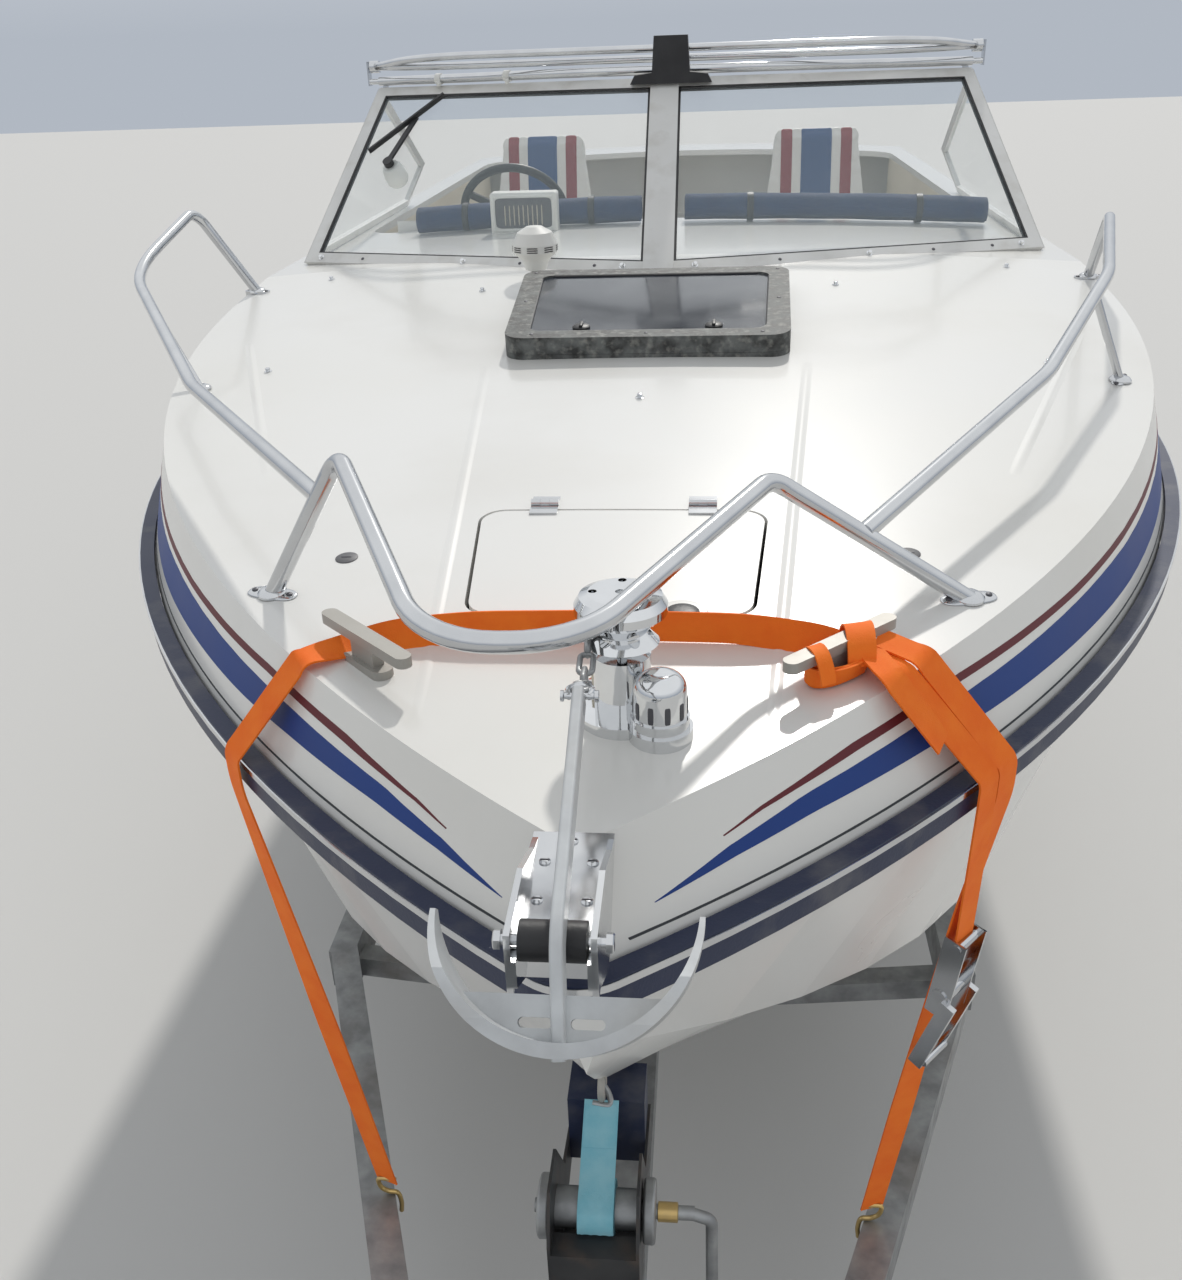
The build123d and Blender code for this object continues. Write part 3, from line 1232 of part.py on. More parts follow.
def make_bunks():
    """Carpeted side bunks that carry the hull, on brackets from the side rails."""
    out = []
    y0, y1 = BUNK_Y
    slope = degrees(atan2(bottom_z(CHINE_X, FULL_Y) - KEEL_Z, CHINE_X))
    for side in (-1, 1):
        x = side * BUNK_X
        top = bottom_z(BUNK_X, y1) - 0.3
        plank = Rot(0, -side * slope, 0) * Pos(0, 0, -BUNK_T / 2) * Box(BUNK_W, y1 - y0, BUNK_T)
        out.append(Pos(x, (y0 + y1) / 2, top) * plank)
    return out


def make_bunk_brackets():
    """Posts from the side rails that carry the bunks."""
    out = []
    y0, y1 = BUNK_Y
    for side in (-1, 1):
        for i in range(BUNK_BRACKETS):
            y = y0 + 120 + (y1 - y0 - 240) * i / (BUNK_BRACKETS - 1)
            half_x, half_y = BUNK_POST[0] / 2, BUNK_POST[1] / 2
            out.append(box(side * (BUNK_X - half_x), side * (BUNK_X + half_x), y - half_y, y + half_y, RAIL_TOP_Z - 2,
                           RAIL_TOP_Z + 160))
    return out


def keel_roller_at():
    """Height of the keel rollers' pins."""
    return KEEL_Z - ROLLER_R - 0.3


def make_keel_rollers():
    """Rubber keel rollers on their pins."""
    z = keel_roller_at()
    return [rod((-60, y, z), (60, y, z), ROLLER_R) - rod((-70, y, z), (70, y, z), ROLLER_PIN_R + STUB_GAP)
            for y in CROSS_Y[1:]]


def make_roller_carriers():
    """Plates on the cross members and the pins between them."""
    z = keel_roller_at()
    out = []
    for y in CROSS_Y[1:]:
        out.append(rod((-76, y, z), (76, y, z), ROLLER_PIN_R))
        for side in (-1, 1):
            out.append(box(side * 66, side * 72, y - 18, y + 18, RAIL_TOP_Z - RAIL_H / 2 - CROSS_DROP, z + 14))
    return out


def make_winch_post():
    """Winch post on the drawbar: a boxed head of side plates that carries the winch, with an arm to the bow stop."""
    y, z = POST_Y, WINCH_Z
    low, front, back = z - 110, y - 70, y + 60
    post = box(-30, 30, y - 30, y + 30, RAIL_TOP_Z - 5, low + 6)
    post += box(-POST_IN - PLATE_T, POST_IN + PLATE_T, front, back, low, low + 6)
    post += box(-POST_IN - PLATE_T, POST_IN + PLATE_T, front, front + PLATE_T, low, z - 4)
    post += box(-POST_IN - PLATE_T, POST_IN + PLATE_T, front, front + 34, z - 4 - PLATE_T, z - 4)
    stop = BOW_STOP_Y
    side = Polyline((front, low), (back, low), (stop + 30, BOW_STOP_Z - 62), (stop + 36, BOW_STOP_Z - 30),
                    (back + 30, BOW_STOP_Z - 6), (y + 26, z + 75), (y - 40, z + 75), (front, z + 10), close=True)
    side = extrude(Plane.YZ * make_face(side), PLATE_T / 2, both=True)
    for sx in (-1, 1):
        post += Pos(sx * (POST_IN + PLATE_T / 2), 0, 0) * side
    post += rod((-POST_IN, stop, BOW_STOP_Z - 46), (POST_IN, stop, BOW_STOP_Z - 46), STUB_R * 0.6)
    post -= rod((-100, y, z), (100, y, z), WINCH_SHAFT_R + STUB_GAP)
    return post


def make_bow_stop(hull, post):
    """Rubber block between the arms that the stem rests against."""
    block = box(-POST_IN, POST_IN, BOW_STOP_Y - 44, BOW_STOP_Y + 28, BOW_STOP_Z - 56, BOW_STOP_Z + 60)
    block = block - hull - post
    return min(block.solids(), key=lambda v: v.center().Z)


def make_winch():
    """Winch drum between the plates, gear covers outside them, and the bent crank."""
    y, z = POST_Y, WINCH_Z
    disc_r, disc_t = WINCH_DISC
    out = POST_IN + PLATE_T + 2
    winch = rod((-POST_IN + 0.3, y, z), (POST_IN - 0.3, y, z), 26)
    winch += rod((-out - disc_t - 6, y, z), (out + disc_t + 50, y, z), WINCH_SHAFT_R)
    for sx in (-1, 1):
        cover = rod((sx * out, y, z), (sx * (out + disc_t), y, z), disc_r)
        winch += fillet(cover.edges().filter_by(GeomType.CIRCLE), 4)
    end = out + disc_t + 50
    winch += tube_path([(end - 6, y, z), (end + 22, y - 2, z - 8), (end + 24, y - 14, z - 160), (end + 130, y - 14, z - 168)],
                       12, WINCH_SHAFT_R - 1)
    return winch + rod((end + 50, y - 14, z - 165), (end + 150, y - 14, z - 170), 15)


def make_winch_strap():
    """Webbing from the winch drum to the bow eye."""
    y, z = POST_Y + 14, WINCH_Z + 30
    ey, ez = EYE_AT
    return ribbon([(0, y, z), (0, ey - 14, ez - 20)], (1, 0, 0), 46, 3)


def make_bow_eye(hull):
    """Steel eye on the stem."""
    y, z = EYE_AT
    ring = Pos(0, y, z) * Rot(0, 90, 0) * Torus(18, 5)
    ring -= hull
    return max(ring.solids(), key=lambda v: v.volume)


def ribbon(points, across, w, t):
    """Flat webbing along straight runs; across is the direction of its width."""
    out = None
    pts = [Vector(*p) for p in points]
    for a, b in zip(pts, pts[1:]):
        axis = b - a
        plane = Plane(origin=a, x_dir=Vector(*across), z_dir=axis)
        piece = plane * extrude(Rectangle(w, t), axis.length + 1)
        out = piece if out is None else out + piece
    return out


def make_coupling():
    """Pressed-steel ball coupling on the end of the drawbar, with its hand grip."""
    z = RAIL_TOP_Z - RAIL_H / 2
    y = DRAWBAR_Y
    head = Pos(0, y, z - 30) * extrude(Circle(BALL_R + 15), 52)
    sleeve = box(-45, 45, y + 20, y + 190, z - 30, z + 51)
    sleeve -= box(-DRAWBAR_W / 2 - 0.2, DRAWBAR_W / 2 + 0.2, y + 59.8, y + 300, z - 80, z + 45.2)
    head += sleeve
    head -= Pos(0, y, z - 31) * extrude(Circle(BALL_R), 31)
    grip = box(-12, 12, y - 20, y + 110, z + 60, z + 70) + box(-12, 12, y - 12, y + 12, z + 20, z + 62)
    return head + grip


def make_jack():
    """Side-mounted parking jack: outer tube with clamp, and the sliding foot."""
    x, y = JACK_AT
    low, high = JACK_TUBE_Z
    clamp = box(x - 8, -DRAWBAR_W / 2, y - 40, y + 40, 478, 548)
    outer = Pos(x, y, low) * extrude(Circle(JACK_TUBE_R), high - low)
    outer -= Pos(x, y, low - 10) * extrude(Circle(JACK_SLIDE_R + STUB_GAP), high - low - 5)
    cap = Pos(x, y, high - 10) * extrude(Circle(JACK_TUBE_R + 2), 16)
    top = high + 6
    handle = box(x - 150, x, y - 8, y + 8, top, top + 12) + rod((x - 142, y, top + 4), (x - 142, y, top + 84), 11)
    body = (clamp - Pos(x, y, 400) * extrude(Circle(JACK_TUBE_R - 2), 300)) + outer + cap + handle
    slide = Pos(x, y, 8) * extrude(Circle(JACK_LEG_R), 500)
    slide += Pos(x, y, 0) * extrude(RectangleRounded(JACK_FOOT, JACK_FOOT, 20), 10)
    slide += Pos(x, y, 400) * extrude(Circle(JACK_SLIDE_R), 60)
    return body, slide


def edge_point(y, out, z):
    """A point outside the plan outline at the rub rail, and the direction along the outline there."""
    x = half_beam(y, -out)
    along = Vector(SIDE_Y - y, x - HALF_BEAM + PLAN_R, 0).normalized()
    return Vector(x, y, z), along


def make_straps():
    """Orange tie-down webbing: across the bow between the cleats and down to the chassis."""
    out = []
    zc = deck_at(CLEAT_X, CLEAT_Y + 40)
    low = zc + STRAP_W / 2 + 6.2
    out.append(ribbon([(-CLEAT_X + 40, CLEAT_Y + 70, low), (CLEAT_X - 40, CLEAT_Y + 70, low)], (0, 0, 1),
                      STRAP_W, STRAP_T))
    hx, hy = STRAP_HOOK
    ey = STRAP_EDGE_Y
    over, _ = edge_point(ey - 6, -SIDE_LEAN - 8, deck_at(0, ey) + 12)
    upper, _ = edge_point(ey, RUB_OUT + STRIP_T + 8, rub_z(ey) + RUB_HIGH + 12)
    lower, along = edge_point(ey, RUB_OUT + STRIP_T + 8, rub_z(ey) + RUB_LOW)
    start = Vector(CLEAT_X + 58, CLEAT_Y + 34, zc + 40)
    hook = Vector(hx, hy, RAIL_TOP_Z + 2.2)
    piece = None
    for a, b in ((start, over), (over, upper), (upper, lower), (lower, hook)):
        run = ribbon([a, b], along, STRAP_W, STRAP_T)
        piece = run if piece is None else piece + run
    out.append(piece)
    out.append(mirror(piece, about=Plane.YZ))
    down = (hook - lower).normalized()
    across = (along - down * along.dot(down)).normalized()
    at = lower + (hook - lower) * RATCHET_SHARE
    return out, make_ratchet(at, down, across)


def make_ratchet(at, down, across):
    """Ratchet buckle on the port strap: side plates, spool under the webbing, handle and its grip."""
    plane = Plane(origin=at, x_dir=across, z_dir=down)
    spool_y = STRAP_T / 2 + 13.2
    wide = STRAP_W / 2 + 4
    body = Pos(0, spool_y, 0) * Rot(0, 90, 0) * Cylinder(13, 2 * wide + 8)
    for sx in (-1, 1):
        body += Pos(sx * wide, spool_y, -RATCHET_L / 4) * Box(3, 34, RATCHET_L)
        body += Pos(sx * (wide + 4), spool_y + 6, RATCHET_L / 2) * Rot(9, 0, 0) * Box(9, 22, RATCHET_L)
    for along in (-0.68, 0.94):
        body += Pos(0, spool_y + 4, RATCHET_L * along) * Rot(0, 90, 0) * Cylinder(7, 2 * wide + 6)
    return plane * body


def make_engine():
    """The inboard engine, as one mass in its bay."""
    y0, y1 = ENGINE_BAY_Y
    block = box(-300, 300, y0 + 60, y1 - 60, ENGINE_BAY_Z + 0.3, SOLE_Z - 30)
    return block + box(-260, 260, y0 + 60, ENGINE_COVER_Y[1] - 60, SOLE_Z - 40, SOLE_Z + 240)


def build():
    """Every named piece of the boat and its trailer."""
    p = {}
    deck = make_deck()
    hull = make_hull()
    fender, strip = make_rub_rail()
    p["hull"] = hull
    p["deck"] = deck
    p["rub_rail"] = fender
    p["rub_strip"] = strip
    p["cockpit_sole"] = make_sole()
    p["side_liners"] = make_liners(deck)
    p["dash"] = make_dash(deck)
    p["cabin_door"], door_hinges = make_door()
    frame, glass = make_windscreen(deck)
    p["windscreen_frame"] = frame
    p["windscreen_glass"] = glass
    p["screen_cap"] = make_screen_cap(frame)
    p["wiper"] = make_wiper()
    p["top_rail"] = make_top_rail(frame)
    p["hood_bows"] = make_hood_bows()
    base, ring, pane = make_hatch()
    p["hatch_base"] = cut_by(base, deck)
    p["hatch_frame"] = ring
    p["hatch_pane"] = pane
    p["locker_lid"] = make_locker_lid()
    locker_fixed, p["locker_hinges"] = make_locker_hinges(deck, p["locker_lid"])
    hatch_fixed, p["hatch_hinges"] = make_hatch_hinges(deck, ring)
    p["fixed_hinges"] = door_hinges + locker_fixed + hatch_fixed
    p["anchor_locker"] = make_locker()
    p["pulpit"] = make_pulpit(deck)
    p["cleats"] = make_cleats(deck) + [make_bow_eye(hull)]
    windlass, drum = make_windlass(deck)
    p["windlass"] = windlass
    p["windlass_drum"] = drum
    fitting, roller = make_bow_roller(deck, fender + strip)
    p["bow_fitting"] = fitting
    p["bow_roller"] = roller
    p["anchor"] = make_anchor()
    p["deck_light"] = make_deck_light(deck)
    p["canvas_rolls"] = make_canvas_rolls(deck)
    p["instrument_box"] = make_instrument_box(deck)
    wheel, shaft = make_steering_wheel()
    p["steering_wheel"] = wheel
    p["dash"] = p["dash"] + shaft
    p["seats"] = [make_seat(side) for side in (-1, 1)]
    p["seat_bases"] = [make_seat_base(side) for side in (-1, 1)] + make_bench_base()
    p["bench_cushions"] = make_bench()
    p["engine_cover"] = make_engine_cover()
    p["engine"] = make_engine()
    shield, yoke, leg, prop = make_drive()
    p["transom_shield"] = shield
    p["drive_yoke"] = yoke
    p["drive_leg"] = tilt_up(leg)
    p["propeller"] = tilt_up(prop)
    bunks = make_bunks()
    p["trailer_frame"] = make_trailer(bunks)
    p["axle"] = make_axle()
    for name, side in (("starboard", -1), ("port", 1)):
        rim, tyre = make_wheel(side)
        p["rim_" + name] = rim
        p["tyre_" + name] = tyre
    p["mudguards"] = make_mudguards()
    p["bunks"] = bunks
    p["keel_rollers"] = make_keel_rollers()
    p["winch_post"] = make_winch_post()
    p["bow_stop"] = make_bow_stop(hull, p["winch_post"])
    p["winch"] = make_winch()
    p["coupling"] = make_coupling()
    outer, slide = make_jack()
    p["jack"] = outer
    p["jack_leg"] = slide
    p["tie_down_straps"], p["strap_ratchet"] = make_straps()
    p["winch_strap"] = make_winch_strap()
    return p


def solids_of(shape):
    """All solids of a piece or a list of pieces."""
    if isinstance(shape, (list, tuple)):
        return [v for item in shape for v in solids_of(item)]
    return list(shape.solids())


def middle_of(pieces):
    """Half-way between the front of the coupling and the back of the raised drive."""
    boxes = [pieces[name].bounding_box() for name in ("coupling", "drive_leg", "propeller")]
    return (min(b.min.Y for b in boxes) + max(b.max.Y for b in boxes)) / 2


if __name__ == "__main__":
    os.makedirs("parts", exist_ok=True)
    made = build()
    middle = middle_of(made)
    for name, shape in made.items():
        whole = Compound(children=solids_of(shape))
        export_step(Pos(0, -middle, 0) * whole, "parts/" + name + ".step")
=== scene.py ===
"""Looks of a cuddy speedboat that stands on its road trailer.

Boat coordinates are in metres: X to port, Y aft from the bow point, Z up from the ground. Each sub-assembly
is a class that holds its sizes in metres and angles in degrees, and builds its own pieces.
"""
import logging
import math
from dataclasses import dataclass, replace
from enum import Enum
from typing import Optional, Sequence, Union

import bmesh
import bpy
import numpy as np
from mathutils import Matrix, Vector


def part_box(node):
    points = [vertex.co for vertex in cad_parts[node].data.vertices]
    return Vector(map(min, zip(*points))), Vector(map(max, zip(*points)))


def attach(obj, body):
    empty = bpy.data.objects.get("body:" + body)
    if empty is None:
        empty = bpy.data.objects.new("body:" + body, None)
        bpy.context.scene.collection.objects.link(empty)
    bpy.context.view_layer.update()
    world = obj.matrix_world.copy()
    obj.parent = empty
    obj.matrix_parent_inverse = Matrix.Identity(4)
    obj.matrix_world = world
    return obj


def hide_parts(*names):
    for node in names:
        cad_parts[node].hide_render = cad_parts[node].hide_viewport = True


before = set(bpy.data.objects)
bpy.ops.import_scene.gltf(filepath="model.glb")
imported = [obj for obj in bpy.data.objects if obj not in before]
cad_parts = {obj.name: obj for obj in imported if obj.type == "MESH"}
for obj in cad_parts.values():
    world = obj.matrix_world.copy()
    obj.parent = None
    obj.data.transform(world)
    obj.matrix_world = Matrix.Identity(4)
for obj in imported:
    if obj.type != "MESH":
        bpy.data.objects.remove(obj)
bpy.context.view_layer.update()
LOG = logging.getLogger("speedboat")
ROOT = "boat_and_trailer"
HULL_LENGTH = 5.9
BOW_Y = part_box("hull")[1].y - HULL_LENGTH
BOW_PIN_Z = (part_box("bow_roller")[0].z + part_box("bow_roller")[1].z) / 2

Colour = tuple[float, float, float]
Profile = Sequence[tuple[float, float]]
Array = np.ndarray
FLIP = np.array([-1.0, 1.0, 1.0])
UP = np.array([0.0, 0.0, 1.0])


def row(points: Array) -> Array:
    """Moves boat coordinates into the row's frame.

    Args:
        points: points in boat coordinates, last axis x, y, z.

    Returns:
        The same points shifted along the boat.
    """
    out = np.array(points, float)
    out[..., 1] += BOW_Y
    return out


@dataclass(frozen=True)
class Form:
    """The boat's lines, by the same rules as the construction."""

    datum: float = 1.640
    half_beam: float = 1.140
    plan_r: float = 2.616
    side_y: float = 2.230
    deck_rise: float = 0.092
    rub_rise: float = 0.005
    rub_drop: float = 0.105
    level_y: float = 2.450
    crown_r: float = 15.0
    deck_extra: float = 0.018
    lean: float = 0.040
    lean_top: float = 0.120

    def rub_z(self, y: Array) -> Array:
        """Height of the rub rail: a straight rise that levels off."""
        return self.datum - self.rub_drop + self.rub_rise * np.minimum(y, self.level_y)

    def deck_at(self, x: Array, y: Array) -> Array:
        """Height of the deck: a straight rise less the drop of a wide crosswise circle."""
        top = self.datum + self.deck_extra + self.deck_rise * np.minimum(y, self.level_y)
        return top - (self.crown_r - np.sqrt(self.crown_r ** 2 - np.square(x)))

    def beam_at(self, y: Array, inset: Array = 0.0) -> Array:
        """Half-width of the plan: one circle that runs into a straight side.

        Args:
            y: distances aft.
            inset: distance inside the outline.

        Returns:
            Distances to port.
        """
        r = self.plan_r - inset
        ahead = np.maximum(self.side_y - np.asarray(y, float), 0.0)
        return self.half_beam - self.plan_r + np.sqrt(np.maximum(r * r - ahead ** 2, 0.0))

    def band(self, y: Array, share: Array, proud: float = 0.0) -> Array:
        """Points on the port gunwale band, which is ruled between two leaning plan curves.

        Args:
            y: distances aft.
            share: 0 on the rub rail line, 1 on the deck's edge.
            proud: distance outside the surface.

        Returns:
            The points, with x, y and z on the last axis.
        """
        y = np.asarray(y, float)
        low = self.rub_z(y)
        top = self.datum + self.lean_top + self.deck_rise * np.minimum(y, self.level_y)
        whole = self.lean * (self.rub_drop + self.lean_top) / self.rub_drop
        edge = (self.deck_at(self.beam_at(y), y) - low) / (top - low)
        for _ in range(2):
            edge = (self.deck_at(self.beam_at(y, whole * edge), y) - low) / (top - low)
        rise = edge * share
        x = self.beam_at(y, whole * rise - proud)
        return np.stack([x, np.broadcast_to(y, x.shape), low + (top - low) * rise], -1)


FORM = Form()

MOTTLE_DETAIL, GRIME_DETAIL, RELIEF_DETAIL = 6.0, 9.0, 4.0
COAT_ROUGHNESS = 0.08
BUMP_DISTANCE = 0.002


class Weave(Enum):
    """How a finish's small relief is laid."""

    NONE = "none"
    CLOTH = "cloth"
    GRAIN = "grain"


class Nodes:
    """Short ways to fill a material's or a world's node tree."""

    def __init__(self, tree: bpy.types.NodeTree, fresh: bool = True) -> None:
        """Keeps the tree.

        Args:
            tree: the node tree.
            fresh: whether it is emptied first.
        """
        self.tree = tree
        if fresh:
            tree.nodes.clear()

    def add(self, kind: str, values: Optional[dict[Union[str, int], object]] = None,
            **settings: object) -> bpy.types.Node:
        """Adds a node.

        Args:
            kind: the node's type.
            values: what each input gets, a constant or another node's output.
            settings: the node's own choices, set before its inputs.

        Returns:
            The new node.
        """
        node = self.tree.nodes.new(kind)
        for name, value in settings.items():
            setattr(node, name, value)
        for name, value in (values or {}).items():
            if isinstance(value, bpy.types.NodeSocket):
                self.tree.links.new(value, node.inputs[name])
            else:
                node.inputs[name].default_value = value
        return node

    def blend(self, share: bpy.types.NodeSocket, a: object, b: object) -> bpy.types.NodeSocket:
        """Colour between a and b, each a constant or an output, by a share from 0 to 1."""
        return self.add("ShaderNodeMix", {"Factor": share, "A": a, "B": b}, data_type="RGBA").outputs["Result"]

    def ramp(self, value: bpy.types.NodeSocket, start: float, end: float, low: float = 0.0,
             high: float = 1.0) -> bpy.types.NodeSocket:
        """Brings a value's stretch from start to end onto low to high, and holds it there outside."""
        return self.add("ShaderNodeMapRange", {"Value": value, "From Min": start, "From Max": end, "To Min": low,
                                               "To Max": high}).outputs["Result"]

    def maths(self, operation: str, a: object, b: object) -> bpy.types.NodeSocket:
        """Outcome of one operation on two values, each a constant or an output."""
        return self.add("ShaderNodeMath", {0: a, 1: b}, operation=operation).outputs["Value"]

    def noise(self, coords: bpy.types.NodeSocket, scale: float, detail: float) -> bpy.types.NodeSocket:
        """Noise on the given coordinates."""
        return self.add("ShaderNodeTexNoise", {"Vector": coords, "Scale": scale, "Detail": detail}).outputs["Fac"]


@dataclass(frozen=True)
class Finish:
    """One painted, moulded, metal or woven surface.

    Colour is mottled between two tones by noise, a darker grime gathers where a second noise is high,
    roughness wanders with the first noise, and relief comes from noise or a weave.
    """

    name: str
    colour: Colour
    tone: Colour = (0.0, 0.0, 0.0)
    mottle: float = 0.0
    mottle_scale: float = 6.0
    grime: Colour = (0.2, 0.17, 0.13)
    grime_amount: float = 0.0
    grime_scale: float = 3.0
    roughness: float = 0.5
    rough_swing: float = 0.08
    metallic: float = 0.0
    relief: float = 0.0
    relief_scale: float = 60.0
    weave: Weave = Weave.NONE
    coat: float = 0.0
    sheen: float = 0.0
    ior: float = 1.45
    alpha: float = 1.0

    def build(self) -> bpy.types.Material:
        """Makes the node material.

        Returns:
            The material, made once for each name.
        """
        found = bpy.data.materials.get(self.name)
        if found is not None:
            return found
        mat = bpy.data.materials.new(self.name)
        mat.use_nodes = True
        nodes = Nodes(mat.node_tree)
        coords = nodes.add("ShaderNodeTexCoord").outputs["Object"]
        noise = nodes.noise(coords, self.mottle_scale, MOTTLE_DETAIL)
        shader = nodes.add("ShaderNodeBsdfPrincipled", {
            "Base Color": self._surface_colour(nodes, coords, noise), "Roughness": self.roughness,
            "Metallic": self.metallic, "Coat Weight": self.coat, "Coat Roughness": COAT_ROUGHNESS,
            "Sheen Weight": self.sheen, "IOR": self.ior, "Alpha": self.alpha})
        if self.rough_swing > 0:
            low, high = max(self.roughness - self.rough_swing, 0.02), min(self.roughness + self.rough_swing, 1.0)
            nodes.tree.links.new(nodes.ramp(noise, 0.0, 1.0, low, high), shader.inputs["Roughness"])
        if self.relief > 0:
            bump = nodes.add("ShaderNodeBump", {"Strength": self.relief, "Distance": BUMP_DISTANCE,
                                                "Height": self._height(nodes, coords)})
            nodes.tree.links.new(bump.outputs["Normal"], shader.inputs["Normal"])
        nodes.add("ShaderNodeOutputMaterial", {"Surface": shader.outputs["BSDF"]})
        return mat

    def _surface_colour(self, nodes: Nodes, coords: bpy.types.NodeSocket, noise: bpy.types.NodeSocket) -> object:
        """Base colour, mottled and grimed where the finish asks for it.

        Args:
            nodes: the material's nodes.
            coords: object coordinates.
            noise: the noise that mottles.

        Returns:
            A constant colour or an output.
        """
        colour: object = (*self.colour, 1.0)
        if self.mottle > 0:
            colour = nodes.blend(nodes.ramp(noise, 0.35, 0.65, high=self.mottle), colour, (*self.tone, 1.0))
        if self.grime_amount > 0:
            dirt = nodes.noise(coords, self.grime_scale, GRIME_DETAIL)
            colour = nodes.blend(nodes.ramp(dirt, 0.52, 0.78, high=self.grime_amount), colour, (*self.grime, 1.0))
        return colour

    def _height(self, nodes: Nodes, coords: bpy.types.NodeSocket) -> bpy.types.NodeSocket:
        """Height for the bump.

        Args:
            nodes: the material's nodes.
            coords: object coordinates.

        Returns:
            Two crossed waves for cloth, or else noise.
        """
        if self.weave is Weave.CLOTH:
            warp, weft = (nodes.add("ShaderNodeTexWave", {"Vector": coords, "Scale": self.relief_scale},
                                    bands_direction=direction).outputs["Fac"] for direction in ("X", "Y"))
            return nodes.maths("MULTIPLY", warp, weft)
        return nodes.noise(coords, self.relief_scale, RELIEF_DETAIL)


